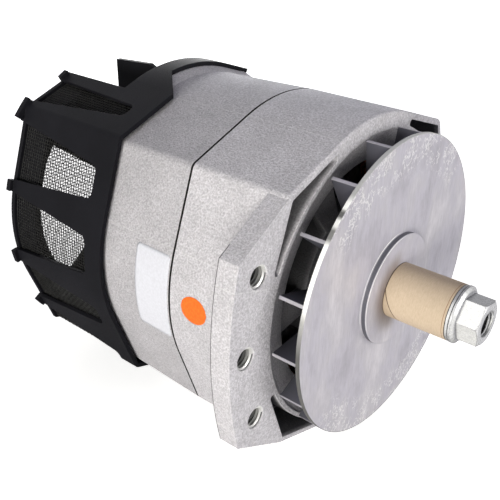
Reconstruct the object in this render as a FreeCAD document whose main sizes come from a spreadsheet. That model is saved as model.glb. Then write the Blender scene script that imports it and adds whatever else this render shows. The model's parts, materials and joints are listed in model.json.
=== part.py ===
import FreeCAD, Part
import math
import os
import Sketcher
from FreeCAD import Vector

os.makedirs("parts", exist_ok=True)
doc = FreeCAD.newDocument("alternator")
sheet = doc.addObject("Spreadsheet::Sheet", "sizes")

# Brushless alternator. Y runs rearward along the shaft from the face that a pulley seats against,
# X to the right seen from the pulley side, Z up. Lengths in millimetres, angles in degrees.

nodes = []

# Driving sizes
sizes = {
    # Shaft nose: nut, washer, paper tube and the face behind them
    "thread_radius": 7,
    "seat_radius": 11.1,
    "sleeve_length": 34.9,
    "sleeve_radius": 15.3,
    "sleeve_bore_radius": 13.8,
    "washer_thickness": 2,
    "washer_radius": 15.2,
    "nut_height": 14,
    "nut_across_flats": 22,
    "nut_turn": -9.5,
    "nut_flange_radius": 15.5,
    "nut_flange_thickness": 2.6,
    "nut_recess": 3,
    "socket_across_flats": 8,
    "socket_depth": 9,
    "thread_run_in": 2.8,
    "key_width": 5,
    "key_height": 4.6,
    "key_length": 20,
    "key_front_gap": 6,
    "press_gap": 0.04,
    "thread_gap": 0.05,
    "screw_gap": 0.3,

    # Fan: cast boss, thin disc and straight vanes
    "boss_radius": 31.4,
    "boss_thickness": 3,
    "disc_radius": 84,
    "disc_thickness": 2.2,
    "vane_height": 13.8,
    "vane_thickness": 1.8,
    "vane_inner_radius": 34,
    "vane_count": 17,
    "vane_start_angle": 99.1,
    "fan_hub_radius": 18,

    # Casing: round with four lobes, two castings and a gasket between them
    "casing_radius": 91.5,
    "lobe_half_angle": 25.4,
    "lobe_round": 4.5,
    "casting_draft": 1.8,
    "casing_front": 21.5,
    "casing_parting": 80,
    "casing_rear": 143,
    "gasket_thickness": 1.2,
    "gasket_inset": 1.5,
    "shroud_radius": 82,
    "pocket_wall": 3.5,
    "pocket_depth": 24,
    "pocket_inner_radius": 84.5,
    "pocket_half_angle": 21.5,
    "pocket_round": 1.6,
    "front_edge_round": 1.5,
    "dish_radius": 66,
    "dish_drop": 5,
    "front_wall": 4.5,
    "intake_count": 6,
    "intake_inner_radius": 43,
    "intake_half_angle": 22,
    "barrel_bore_radius": 84,
    "rear_wall": 6,
    "outlet_count": 6,
    "outlet_inner_radius": 38,
    "outlet_outer_radius": 56,
    "outlet_half_angle": 21,

    # Mounting pad on the left with three threaded holes
    "pad_reach": 112,
    "pad_arc_radius": 210,
    "pad_half_height": 51,
    "pad_root_x": 70,
    "pad_root_height": 71.5,
    "pad_thickness": 11.5,
    "pad_hole_radius": 6,
    "pad_hole_circle": 100.5,
    "pad_hole_spacing": 40,

    # Bearings
    "front_bearing_front": 33,
    "front_bearing_width": 17,
    "front_bearing_bore": 12.5,
    "front_bearing_outer": 31,
    "front_roller_radius": 4.8,
    "front_roller_length": 12,
    "front_roller_count": 9,
    "rear_bearing_front": 119,
    "rear_bearing_width": 14,
    "rear_bearing_bore": 10,
    "rear_bearing_outer": 23.5,
    "rear_roller_radius": 3.7,
    "rear_roller_length": 9,
    "rear_roller_count": 9,
    "roller_gap": 0.05,
    "race_lip": 1.6,
    "cage_width": 5,
    "cage_thickness": 1.6,
    "front_hub_radius": 41,
    "hub_lip": 3,
    "rear_hub_radius": 34.5,
    "rear_hub_front": 116,
    "retainer_thickness": 3,
    "retainer_bore": 24,
    "retainer_screw_circle": 36,
    "retainer_screw_radius": 2.5,
    "retainer_screw_head": 4.2,
    "retainer_screw_head_height": 2.5,
    "retainer_screw_depth": 10,
    "retainer_screw_count": 4,

    # Stator and its winding
    "stator_front": 60,
    "stator_length": 44,
    "stator_gap": 0.1,
    "stator_bore_radius": 62,
    "slot_count": 36,
    "slot_width": 5.4,
    "slot_outer_radius": 78,
    "wire_gap": 0.3,
    "end_turn_length": 13,
    "end_turn_outer_radius": 80,
    "end_turn_inner_radius": 64,
    "stator_seat_radius": 87,

    # Rotor: pole wheels with interleaved claws, joined by a ring, round a fixed field coil
    "rotor_gap": 0.5,
    "claw_count": 6,
    "claw_root_angle": 15,
    "claw_tip_angle": 7,
    "claw_inner_radius": 50.5,
    "pole_disc_thickness": 11,
    "front_pole_front": 58,
    "rear_pole_rear": 106,
    "rear_pole_bore": 44,
    "claw_end_gap": 2,
    "claw_root_depth": 4,
    "shaft_collar_radius": 18,
    "shaft_body_radius": 15,
    "shaft_tail": 5,
    "joining_ring_wall": 4,
    "field_gap": 0.6,
    "field_bore_radius": 16,
    "field_sleeve_radius": 24,
    "field_front_gap": 2,
    "coil_outer_radius": 42,
    "field_flange_thickness": 8,
    "field_screw_circle": 29,
    "field_screw_radius": 2.5,
    "field_screw_head": 4.4,
    "field_screw_head_height": 4.5,
    "field_screw_count": 4,
    "field_screw_bite": 12,

    # Through bolts in the lobes
    "bolt_radius": 3,
    "bolt_circle": 92.5,
    "bolt_front": 50,
    "bolt_head_radius": 5,
    "bolt_head_height": 6,

    # Rear cover: band, tapered ribs, strap, notch and terminal bay
    "cover_gap": 0.5,
    "cover_wall": 2.5,
    "cover_front": 130,
    "cover_band": 13,
    "cover_rear": 213,
    "rear_plate": 2.8,
    "plate_lip": 0.6,
    "window_round": 4,
    "window_backing": 4,
    "hook_height": 2.4,
    "hook_length": 3.2,
    "rib_1_angle": 27.5,
    "rib_2_angle": 46,
    "rib_3_angle": 72,
    "rib_4_angle": 100,
    "rib_5_angle": 124,
    "rib_6_angle": 152,
    "rib_7_angle": 180,
    "rib_1_front": 8,
    "rib_1_rear": 3.5,
    "rib_2_front": 18,
    "rib_2_rear": 7,
    "rib_3_front": 13,
    "rib_3_rear": 4,
    "rib_4_front": 15,
    "rib_4_rear": 5,
    "rib_5_front": 15,
    "rib_5_rear": 4,
    "rib_6_front": 13,
    "rib_6_rear": 4,
    "rib_7_front": 13,
    "rib_7_rear": 4,
    "strap_front": 150,
    "strap_rear": 163,
    "notch_left_outer": 21,
    "notch_left_inner": 9,
    "strap_taper_x": 34,
    "strap_end_x": 45,
    "strap_end_front": 158,
    "shelf_front_gap": 1.5,
    "bay_half_width": 39.5,
    "bay_floor": 60,
    "bay_wall": 3,
    "fin_thickness": 3,
    "fin_front_height": 80,
    "fin_peak_height": 89,
    "fin_rear_height": 87,
    "fin_rise": 20,
    "vent_inner_radius": 27,
    "vent_outer_radius": 74,
    "spoke_half_angle": 7,

    # Screens behind the ribs and behind the rear plate
    "screen_gap": 0.3,
    "screen_thickness": 0.8,
    "screen_front": 144,
    "clamp_front": 192,
    "clamp_wall": 2.5,
    "rear_screen_radius": 82,
    "screen_side_gap": 0.6,
    "screen_columns": 36,
    "screen_column_half": 6,
    "screen_row_pitch": 16,
    "screen_bar": 3.5,
    "screen_bar_inset": 0.15,
    "rear_screen_pitch": 13.6,
    "rear_screen_opening": 10.5,
    "screen_layer": 0.45,
    "rear_screen_rim": 3,

    # Standoffs and screws that hold the cover
    "standoff_circle": 73.5,
    "standoff_radius": 5,
    "standoff_count": 4,
    "cover_screw_radius": 3,
    "cover_screw_head": 5.5,
    "cover_screw_head_height": 4,
    "cover_screw_bite": 12,

    # Rectifier and regulator on the rear wall
    "plate_foot": 6,
    "plate_thickness": 6,
    "positive_inner": 28,
    "positive_outer": 46,
    "negative_inner": 49,
    "negative_outer": 67,
    "plate_half_angle": 72,
    "foot_radius": 4,
    "foot_angle": 30,
    "plate_screw_radius": 2,
    "plate_screw_head": 3.8,
    "plate_screw_head_height": 2.6,
    "diode_radius": 6.3,
    "diode_height": 6,
    "diode_spread": 52,
    "board_thickness": 3,
    "regulator_half_width": 26,
    "regulator_bottom": 37,
    "regulator_top": 56,
    "regulator_depth": 17,
    "regulator_ear": 10,
    "regulator_ear_thickness": 4,

    # Terminals in the bay
    "stud_radius": 4,
    "stud_neck_radius": 3.4,
    "stud_x": 17,
    "stud_height": 68,
    "stud_front": 150,
    "stud_rear": 195,
    "stud_hole_radius": 9,
    "block_half_width": 30,
    "block_bottom": 60,
    "block_top": 76,
    "collar_radius": 8,
    "collar_proud": 4,
    "stud_nut_flats": 13,
    "stud_nut_height": 6.5,
}

# Sizes worked out from them
worked_out = {
    "washer_front": "-sleeve_length-washer_thickness",
    "nut_front": "washer_front-nut_height",
    "shaft_front": "nut_front+nut_recess",
    "seat_front": "thread_run_in-sleeve_length",
    "fan_rear": "boss_thickness+disc_thickness+vane_height",
    "dish_rear": "casing_front+1+dish_drop+front_wall",
    "front_casting_rear": "casing_parting-gasket_thickness/2",
    "rear_casting_front": "casing_parting+gasket_thickness/2",
    "pad_side_x": "pad_arc_radius-pad_reach-sqrt(pad_arc_radius^2-pad_half_height^2)",
    "pad_hole_x": "-sqrt(pad_hole_circle^2-pad_hole_spacing^2)",
    "front_bearing_rear": "front_bearing_front+front_bearing_width",
    "rear_bearing_rear": "rear_bearing_front+rear_bearing_width",
    "front_roller_circle": "(front_bearing_bore+front_bearing_outer)/2",
    "rear_roller_circle": "(rear_bearing_bore+rear_bearing_outer)/2",
    "stator_rear": "stator_front+stator_length",
    "rotor_radius": "stator_bore_radius-rotor_gap",
    "front_pole_rear": "front_pole_front+pole_disc_thickness",
    "rear_pole_front": "rear_pole_rear-pole_disc_thickness",
    "field_flange_front": "rear_pole_rear-field_flange_thickness",
    "cover_inner_radius": "casing_radius+cover_gap",
    "cover_radius": "cover_inner_radius+cover_wall",
    "window_front": "cover_front+cover_band",
    "cover_plate_front": "cover_rear-rear_plate",
    "screen_radius": "cover_inner_radius-screen_gap",
    "clamp_radius": "screen_radius-screen_thickness-screen_gap",
    "positive_middle": "(positive_inner+positive_outer)/2",
    "negative_middle": "(negative_inner+negative_outer)/2",
    "plate_front": "casing_rear+plate_foot",
    "plate_rear": "plate_front+plate_thickness",
    "board_front": "plate_rear+diode_height",
    "bay_front": "strap_rear-bay_wall",
    "collar_rear": "strap_rear+collar_proud",
    "stud_thread_front": "collar_rear+stud_nut_height",
}

names = list(sizes) + list(worked_out)
for row, name in enumerate(names, 1):
    sheet.set("A%d" % row, name)
    sheet.set("B%d" % row, str(sizes[name]) if name in sizes else "=" + worked_out[name])
    sheet.setAlias("B%d" % row, name)

doc.recompute()


def number(text):
    """Value of a formula in the sheet's words."""
    value = sheet.evalExpression(text)
    return float(getattr(value, "Value", value))


def full(text):
    """Put the sheet's name before each of its values in a formula."""
    out = ""
    word = ""
    for sign in text + " ":
        if sign.isalnum() or sign == "_":
            word += sign
            continue
        out += ("sizes." if word in names else "") + word + sign
        word = ""
    return out.strip()


def body(label):
    """Start the body of one sub-part."""
    item = doc.addObject("PartDesign::Body", label)
    item.Label = label
    nodes.append(item)
    return item


def datum(item, role):
    """One of the body's own base planes or axes."""
    return [part for part in item.Origin.OriginFeatures if part.Role == role][0]


def sketch(item, at="0", role="XZ_Plane"):
    """Sketch across the shaft at a distance behind the pulley face, or on another base plane."""
    drawn = item.newObject("Sketcher::SketchObject", item.Name + "_sketch")
    drawn.AttachmentSupport = [(datum(item, role), "")]
    drawn.MapMode = "FlatFace"
    side = "-(%s)" if role == "XZ_Plane" else "(%s)"
    drawn.setExpression("AttachmentOffset.Base.z", full(side % at))
    return drawn


def pin(drawn, shape, point, place, which="XY"):
    """Hold a point of the sketch at its formulas."""
    for axis, text in zip("XY", place):
        value = number(text)
        if axis not in which:
            continue
        if abs(value) < 1e-9:
            line = -2 if axis == "X" else -1
            drawn.addConstraint(Sketcher.Constraint("PointOnObject", shape, point, line))
            continue
        held = drawn.addConstraint(Sketcher.Constraint("Distance" + axis, -1, 1, shape, point, value))
        drawn.setExpression("Constraints[%d]" % held, full(text))


def circle(drawn, radius, x="0", z="0"):
    """Circle of a bound radius."""
    shape = Part.Circle(Vector(number(x), number(z), 0), Vector(0, 0, 1), number(radius))
    index = drawn.addGeometry(shape, False)
    if x == "0" and z == "0":
        drawn.addConstraint(Sketcher.Constraint("Coincident", index, 3, -1, 1))
    else:
        pin(drawn, index, 3, (x, z))
    held = drawn.addConstraint(Sketcher.Constraint("Radius", index, number(radius)))
    drawn.setExpression("Constraints[%d]" % held, full(radius))
    return drawn


def outline(drawn, points, arcs=None):
    """Closed outline through points; arcs maps a side to its radius and the X of its centre."""
    arcs = arcs or {}
    spots = [(number(a), number(b)) for a, b in points]
    ends = []
    for i, start in enumerate(spots):
        stop = spots[(i + 1) % len(spots)]
        if i not in arcs:
            line = Part.LineSegment(Vector(start[0], start[1], 0), Vector(stop[0], stop[1], 0))
            ends.append((drawn.addGeometry(line, False), 1, 2))
            continue
        radius, middle = arcs[i]
        x = number(middle)
        first = math.atan2(start[1], start[0] - x)
        last = math.atan2(stop[1], stop[0] - x)
        ccw = (last - first) % (2 * math.pi) < math.pi
        sweep = (first, last) if ccw else (last, first)
        ring = Part.Circle(Vector(x, 0, 0), Vector(0, 0, 1), number(radius))
        index = drawn.addGeometry(Part.ArcOfCircle(ring, sweep[0], sweep[1]), False)
        if middle == "0":
            drawn.addConstraint(Sketcher.Constraint("Coincident", index, 3, -1, 1))
        else:
            pin(drawn, index, 3, (middle, "0"))
        if arcs.get(i - 1) != arcs[i]:
            held = drawn.addConstraint(Sketcher.Constraint("Radius", index, number(radius)))
            drawn.setExpression("Constraints[%d]" % held, full(radius))
        ends.append((index, 1, 2) if ccw else (index, 2, 1))
    for i, (shape, start, stop) in enumerate(ends):
        after = ends[(i + 1) % len(ends)]
        drawn.addConstraint(Sketcher.Constraint("Coincident", shape, stop, after[0], after[1]))
    for i, (shape, start, stop) in enumerate(ends):
        side = i if i in arcs else (i - 1) % len(ends)
        which = "XY"
        if side in arcs:
            x = spots[i][0] - number(arcs[side][1])
            which = "Y" if abs(x) > abs(spots[i][1]) else "X"
        pin(drawn, shape, start, points[i], which)
    return drawn


def pad(item, drawn, length):
    """Solid from the sketch rearward."""
    made = item.newObject("PartDesign::Pad", item.Name + "_pad")
    made.Profile = drawn
    made.Reversed = True
    made.setExpression("Length", full(length))
    return made


def pocket(item, drawn, length):
    """Cut from the sketch rearward."""
    made = item.newObject("PartDesign::Pocket", item.Name + "_pocket")
    made.Profile = drawn
    made.setExpression("Length", full(length))
    return made


def turned(item, points, kind="Revolution"):
    """Solid or groove of revolution about the shaft from radius and distance pairs."""
    drawn = outline(sketch(item, "0", "XY_Plane"), points)
    made = item.newObject("PartDesign::" + kind, item.Name + "_turned")
    made.Profile = drawn
    made.ReferenceAxis = (drawn, ["V_Axis"])
    made.Angle = 360
    return made


def ring(item, inner, outer, front, rear):
    """Plain ring about the shaft."""
    return turned(item, [(inner, front), (outer, front), (outer, rear), (inner, rear)])


def around(item, parts, count):
    """Repeat features evenly round the shaft."""
    made = item.newObject("PartDesign::PolarPattern", item.Name + "_around")
    made.Originals = parts
    made.Axis = (datum(item, "Y_Axis"), [""])
    made.Angle = 360
    made.setExpression("Occurrences", full(count))
    item.Tip = made
    return made


def rounded(item, radius, chosen):
    """Round the edges of the body so far that pass a test."""
    doc.recompute()
    base = item.Tip
    found = ["Edge%d" % (i + 1) for i, edge in enumerate(base.Shape.Edges) if chosen(edge)]
    made = item.newObject("PartDesign::Fillet", item.Name + "_rounded")
    made.Base = (base, found)
    made.setExpression("Radius", full(radius))
    return made


def at_angle(radius, angle):
    """Formulas of a point at a radius and an angle from the right-hand side."""
    return "(%s)*cos(%s)" % (radius, angle), "(%s)*sin(%s)" % (radius, angle)


def sector(inner, outer, start, stop):
    """Points and arcs of a piece of a ring between two angles."""
    points = [at_angle(inner, start), at_angle(outer, start), at_angle(outer, stop), at_angle(inner, stop)]
    return points, {1: (outer, "0"), 3: (inner, "0")}


def lobed(drawn, radius):
    """Outline of the casing: a circle with four lobes whose sides leave it at a tangent."""
    points = []
    arcs = {}
    for middle in (45, 135, 225, 315):
        points.append(at_angle(radius, "%d-lobe_half_angle" % middle))
        points.append(at_angle("(%s)/cos(lobe_half_angle)" % radius, "%d" % middle))
        points.append(at_angle(radius, "%d+lobe_half_angle" % middle))
        arcs[len(points) - 1] = (radius, "0")
    return outline(drawn, points, arcs)


def lobe_corner(edge):
    """True for the edge that runs along the tip of a lobe."""
    ends = [vertex.Point for vertex in edge.Vertexes]
    if len(ends) < 2 or abs(ends[0].y - ends[1].y) < 1:
        return False
    return all(abs(abs(point.x) - abs(point.z)) < 0.01 for point in ends)


def hexagon(drawn, flats, x="0", z="0", turn="0"):
    """Hexagon by its width across flats."""
    corner = "(%s)/2/cos(30)" % flats
    points = []
    for angle in (0, 60, 120, 180, 240, 300):
        a, b = at_angle(corner, "%d+(%s)" % (angle, turn))
        points.append(("(%s)+(%s)" % (x, a), "(%s)+(%s)" % (z, b)))
    return outline(drawn, points)


def lobe_point(radius):
    """Formulas of the point at a radius in the upper right lobe."""
    return at_angle(radius, "45")


def screws(item, place, radius, front, rear, head, height):
    """Screw with its head at the rear, at one place."""
    shank = pad(item, circle(sketch(item, front), radius, place[0], place[1]), "(%s)-(%s)" % (rear, front))
    top = pad(item, circle(sketch(item, rear), head, place[0], place[1]), height)
    return [shank, top]


# Drive end housing: one casting with the shroud ring, front dish, bearing hub and mounting pad
def drive_end_housing():
    item = body("drive_end_housing")
    barrel = "front_casting_rear-casing_front"
    pad(item, lobed(sketch(item, "casing_front"), "casing_radius"), barrel)
    rounded(item, "lobe_round", lobe_corner)
    rounded(item, "front_edge_round", front_edge)
    arm = [("-pad_root_x", "-pad_root_height"), ("-pad_root_x", "pad_root_height"),
           ("pad_side_x", "pad_half_height"), ("pad_side_x", "-pad_half_height")]
    arc = {2: ("pad_arc_radius", "pad_arc_radius-pad_reach")}
    pad(item, outline(sketch(item, "casing_front"), arm, arc), "pad_thickness")
    rim = "casing_front+1"
    dish = rim + "+dish_drop"
    turned(item, [("0", "casing_front-1"), ("shroud_radius", "casing_front-1"), ("shroud_radius", rim),
                  ("dish_radius", dish), ("dish_radius", "dish_rear"),
                  ("pocket_inner_radius-3", "dish_rear"), ("pocket_inner_radius-3", "stator_front"),
                  ("stator_seat_radius", "stator_front"),
                  ("stator_seat_radius", "front_casting_rear+1"), ("0", "front_casting_rear+1")], "Groove")
    hub_front = "front_bearing_front-hub_lip"
    bore = "front_bearing_outer+press_gap"
    web = "dish_radius+0.5"
    turned(item, [("fan_hub_radius+1", hub_front), (web, hub_front), (web, "dish_rear+1"),
                  ("front_hub_radius", "dish_rear+4"), ("front_hub_radius", "front_bearing_rear"),
                  (bore, "front_bearing_rear"), (bore, "front_bearing_front"),
                  ("fan_hub_radius+1", "front_bearing_front")])
    points, arcs = sector("intake_inner_radius", "dish_radius", "30-intake_half_angle", "30+intake_half_angle")
    intake = pocket(item, outline(sketch(item, "casing_front"), points, arcs), "stator_front-casing_front-20")
    around(item, [intake], "intake_count")
    lobe_pockets(item)
    tap = at_angle("retainer_screw_circle", "0")
    hole = pocket(item, circle(sketch(item, "front_bearing_rear-retainer_screw_depth"),
                               "retainer_screw_radius+thread_gap", tap[0], tap[1]), "retainer_screw_depth+1")
    around(item, [hole], "retainer_screw_count")
    spot = lobe_point("bolt_circle")
    tapped = pocket(item, circle(sketch(item, "bolt_front"), "bolt_radius+thread_gap", spot[0], spot[1]),
                    "casing_parting-bolt_front")
    around(item, [tapped], "4")
    for z in ("pad_hole_spacing", "0", "-pad_hole_spacing"):
        x = "-pad_hole_circle" if z == "0" else "pad_hole_x"
        pocket(item, circle(sketch(item, "casing_front-1"), "pad_hole_radius", x, z), "pad_thickness+2")


def front_edge(edge):
    """True for an edge of the front face."""
    return all(abs(vertex.Point.y - number("casing_front")) < 0.01 for vertex in edge.Vertexes)


def lobe_pockets(item):
    """Long pockets in the front face, inside the lobe's outer wall, with rounded ends."""
    line = "casing_radius-pocket_wall"
    ends = "(%s)/cos(lobe_half_angle-pocket_half_angle)" % line
    low, high = "45-pocket_half_angle", "45+pocket_half_angle"
    points = [at_angle("pocket_inner_radius", low), at_angle(ends, low),
              at_angle("(%s)/cos(lobe_half_angle)" % line, "45"), at_angle(ends, high),
              at_angle("pocket_inner_radius", high)]
    drawn = outline(sketch(item, "casing_front"), points, {4: ("pocket_inner_radius", "0")})
    around(item, [pocket(item, drawn, "pocket_depth")], "4")
    rounded(item, "pocket_round", pocket_corner)


def pocket_corner(edge):
    """True for an upright edge of a lobe pocket."""
    ends = [vertex.Point for vertex in edge.Vertexes]
    if len(ends) < 2 or math.hypot(ends[0].x - ends[1].x, ends[0].z - ends[1].z) > 0.01:
        return False
    floor = number("casing_front+pocket_depth")
    return abs(max(point.y for point in ends) - floor) < 0.01


drive_end_housing()


# Gasket between the two castings, a little smaller than they are
def joint_gasket():
    item = body("joint_gasket")
    pad(item, lobed(sketch(item, "front_casting_rear"), "casing_radius-gasket_inset"), "gasket_thickness")
    pocket(item, circle(sketch(item, "front_casting_rear-1"), "stator_seat_radius"), "gasket_thickness+2")
    spot = lobe_point("bolt_circle")
    hole = pocket(item, circle(sketch(item, "front_casting_rear-1"), "bolt_radius+screw_gap", spot[0], spot[1]),
                  "gasket_thickness+2")
    around(item, [hole], "4")


joint_gasket()


# Rear housing: casting that closes the stator and carries the rear bearing and the electrical parts
def rear_housing():
    item = body("rear_housing")
    drawn = lobed(sketch(item, "rear_casting_front"), "casing_radius")
    shell = pad(item, drawn, "casing_rear-rear_casting_front")
    shell.setExpression("TaperAngle", full("-casting_draft"))
    rounded(item, "lobe_round", lobe_corner)
    wall = "casing_rear-rear_wall"
    bore = "rear_bearing_outer+press_gap"
    turned(item, [("0", "rear_casting_front-1"), ("stator_seat_radius", "rear_casting_front-1"),
                  ("stator_seat_radius", "stator_rear"), ("barrel_bore_radius", "stator_rear"),
                  ("barrel_bore_radius", wall), ("0", wall)], "Groove")
    ring(item, "0", "rear_hub_radius", "rear_hub_front", wall + "+1")
    turned(item, [("0", "rear_hub_front-1"), (bore, "rear_hub_front-1"), (bore, "rear_bearing_rear"),
                  ("rear_bearing_bore+2", "rear_bearing_rear"), ("rear_bearing_bore+2", "casing_rear+1"),
                  ("0", "casing_rear+1")], "Groove")
    points, arcs = sector("outlet_inner_radius", "outlet_outer_radius",
                          "30-outlet_half_angle", "30+outlet_half_angle")
    outlet = pocket(item, outline(sketch(item, wall + "-1"), points, arcs), "rear_wall+2")
    around(item, [outlet], "outlet_count")
    spot = lobe_point("bolt_circle")
    bolt = pocket(item, circle(sketch(item, "casing_parting"), "bolt_radius+screw_gap", spot[0], spot[1]),
                  "casing_rear-casing_parting+1")
    around(item, [bolt], "4")
    spot = at_angle("field_screw_circle", "45")
    hole = pocket(item, circle(sketch(item, "rear_hub_front-1"), "field_screw_radius+screw_gap",
                               spot[0], spot[1]), "casing_rear-rear_hub_front+2")
    around(item, [hole], "field_screw_count")


rear_housing()


# Four bolts through the lobes that clamp the stator between the castings
def through_bolts():
    item = body("through_bolts")
    spot = lobe_point("bolt_circle")
    parts = screws(item, spot, "bolt_radius", "bolt_front", "casing_rear",
                   "bolt_head_radius", "bolt_head_height")
    around(item, parts, "4")


through_bolts()


# Stator core of stacked sheets with open slots
def stator_core():
    item = body("stator_core")
    ring(item, "stator_bore_radius", "stator_seat_radius-stator_gap", "stator_front", "stator_rear")
    inner = "stator_bore_radius-1"
    half = "slot_width/2"
    outer = "slot_outer_radius"
    points = [(inner, "-" + half), (outer, "-" + half), (outer, half), (inner, half)]
    slot = pocket(item, outline(sketch(item, "stator_front-1"), points), "stator_length+2")
    around(item, [slot], "slot_count")


stator_core()


# Copper winding: a bar in every slot and the end turns on both sides
def stator_winding():
    item = body("stator_winding")
    ring(item, "end_turn_inner_radius", "end_turn_outer_radius", "stator_front-end_turn_length", "stator_front")
    ring(item, "end_turn_inner_radius", "end_turn_outer_radius", "stator_rear", "stator_rear+end_turn_length")
    inner = "end_turn_inner_radius+1"
    outer = "slot_outer_radius-wire_gap"
    half = "(slot_width/2-wire_gap)"
    points = [(inner, "-" + half), (outer, "-" + half), (outer, half), (inner, half)]
    bar = pad(item, outline(sketch(item, "stator_front-1"), points), "stator_length+2")
    around(item, [bar], "slot_count")


stator_winding()


# Roller bearings: lipped inner and outer rings with a set of rollers in their cage
def bearing(side):
    front = side + "_bearing_front"
    rear = side + "_bearing_rear"
    middle = "(%s+%s)/2" % (front, rear)
    across = side + "_roller_circle"
    roller = side + "_roller_radius"
    first = "%s-%s_roller_length/2" % (middle, side)
    last = "%s+%s_roller_length/2" % (middle, side)
    outer = body(side + "_bearing_outer_ring")
    reach = "%s+%s+roller_gap" % (across, roller)
    lipped_ring(outer, side + "_bearing_outer", reach, reach + "-race_lip", (front, first, last, rear))
    inner = body(side + "_bearing_inner_ring")
    reach = "%s-%s-roller_gap" % (across, roller)
    lipped_ring(inner, side + "_bearing_bore+press_gap", reach, reach + "+race_lip", (front, first, last, rear))
    rollers = body(side + "_bearing_rollers")
    half = "cage_thickness/2"
    ring(rollers, "%s-%s" % (across, half), "%s+%s" % (across, half),
         "%s-cage_width/2" % middle, "%s+cage_width/2" % middle)
    one = pad(rollers, circle(sketch(rollers, first), roller, across), side + "_roller_length")
    around(rollers, [one], side + "_roller_count")


def lipped_ring(item, seat, track, lip, stations):
    """Bearing ring from its seat to the track, with a lip beside each end of the rollers."""
    front, first, last, rear = stations
    turned(item, [(seat, front), (lip, front), (lip, first + "-roller_gap"), (track, first + "-roller_gap"),
                  (track, last + "+roller_gap"), (lip, last + "+roller_gap"), (lip, rear), (seat, rear)])


bearing("front")
bearing("rear")


# Plate that keeps the front bearing in its hub, and its screws
def bearing_retainer():
    item = body("bearing_retainer")
    rear = "front_bearing_rear+retainer_thickness"
    ring(item, "retainer_bore", "front_hub_radius", "front_bearing_rear", rear)
    spot = at_angle("retainer_screw_circle", "0")
    hole = pocket(item, circle(sketch(item, "front_bearing_rear-1"), "retainer_screw_radius+screw_gap",
                               spot[0], spot[1]), "retainer_thickness+2")
    around(item, [hole], "retainer_screw_count")
    bolts = body("retainer_screws")
    parts = screws(bolts, spot, "retainer_screw_radius", "front_bearing_rear-retainer_screw_depth", rear,
                   "retainer_screw_head", "retainer_screw_head_height")
    around(bolts, parts, "retainer_screw_count")


bearing_retainer()


# Fixed field core on the rear hub, with the field coil wound round it and its screws
def field():
    core = body("field_core")
    front = "front_pole_rear+field_front_gap"
    turned(core, [("field_bore_radius", front), ("field_sleeve_radius", front),
                  ("field_sleeve_radius", "field_flange_front"),
                  ("rear_pole_bore-field_gap", "field_flange_front"),
                  ("rear_pole_bore-field_gap", "rear_pole_rear"), ("rear_hub_radius", "rear_pole_rear"),
                  ("rear_hub_radius", "rear_hub_front"), ("field_bore_radius", "rear_hub_front")])
    spot = at_angle("field_screw_circle", "45")
    hole = pocket(core, circle(sketch(core, "rear_hub_front-field_screw_bite"), "field_screw_radius+thread_gap",
                               spot[0], spot[1]), "field_screw_bite+1")
    around(core, [hole], "field_screw_count")
    coil = body("field_coil")
    ring(coil, "field_sleeve_radius+wire_gap", "coil_outer_radius", front + "+1", "field_flange_front")
    bolts = body("field_core_screws")
    parts = screws(bolts, spot, "field_screw_radius", "rear_hub_front-field_screw_bite", "casing_rear",
                   "field_screw_head", "field_screw_head_height")
    around(bolts, parts, "field_screw_count")


field()


# Shaft: thread, pulley seat, bearing seats and the collar between them
def rotor_shaft():
    item = body("rotor_shaft")
    chamfer = "1"
    turned(item, [("0", "shaft_front"), ("thread_radius-" + chamfer, "shaft_front"),
                  ("thread_radius", "shaft_front+" + chamfer), ("thread_radius", "seat_front"),
                  ("seat_radius", "seat_front"), ("seat_radius", "front_bearing_front"),
                  ("front_bearing_bore", "front_bearing_front"), ("front_bearing_bore", "front_bearing_rear"),
                  ("shaft_collar_radius", "front_bearing_rear"), ("shaft_collar_radius", "front_pole_front"),
                  ("shaft_body_radius", "front_pole_front"), ("shaft_body_radius", "rear_bearing_front"),
                  ("rear_bearing_bore", "rear_bearing_front"),
                  ("rear_bearing_bore", "rear_bearing_rear+shaft_tail"), ("0", "rear_bearing_rear+shaft_tail")])
    pocket(item, hexagon(sketch(item, "shaft_front-1"), "socket_across_flats"), "socket_depth+1")
    pocket(item, outline(sketch(item, "seat_front+key_front_gap"), key_section("seat_radius+3")), "key_length")


def key_section(top):
    """Section of the key from its floor in the shaft to a given height."""
    floor = "seat_radius+2.1-key_height"
    return [("-key_width/2", floor), ("key_width/2", floor), ("key_width/2", top), ("-key_width/2", top)]


def shaft_key():
    item = body("shaft_key")
    pad(item, outline(sketch(item, "seat_front+key_front_gap"), key_section("seat_radius+2.1")), "key_length")


rotor_shaft()
shaft_key()


# Fan cast in one piece: boss, disc, hub and straight radial vanes on the rear of the disc
def fan():
    item = body("fan")
    disc_rear = "boss_thickness+disc_thickness"
    bore = "seat_radius+press_gap"
    turned(item, [(bore, "0"), ("boss_radius", "0"), ("boss_radius", "boss_thickness"),
                  ("disc_radius", "boss_thickness"), ("disc_radius", disc_rear), ("fan_hub_radius", disc_rear),
                  ("fan_hub_radius", "fan_rear"), (bore, "fan_rear")])
    drawn = sketch(item, disc_rear + "-0.2")
    radial = ("cos(vane_start_angle)", "sin(vane_start_angle)")
    points = []
    for radius, side in (("vane_inner_radius", "-"), ("disc_radius-0.3", "-"),
                         ("disc_radius-0.3", "+"), ("vane_inner_radius", "+")):
        along = "(%s)*%s" % (radius, radial[0])
        up = "(%s)*%s" % (radius, radial[1])
        other = "-" if side == "+" else "+"
        points.append(("%s%svane_thickness/2*%s" % (along, other, radial[1]),
                       "%s%svane_thickness/2*%s" % (up, side, radial[0])))
    vane = pad(item, outline(drawn, points), "vane_height+0.2")
    around(item, [vane], "vane_count")


fan()


# Spacer tube between the fan hub and the front bearing
def fan_spacer():
    item = body("fan_spacer")
    ring(item, "seat_radius+press_gap", "fan_hub_radius-1", "fan_rear", "front_bearing_front")


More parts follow.
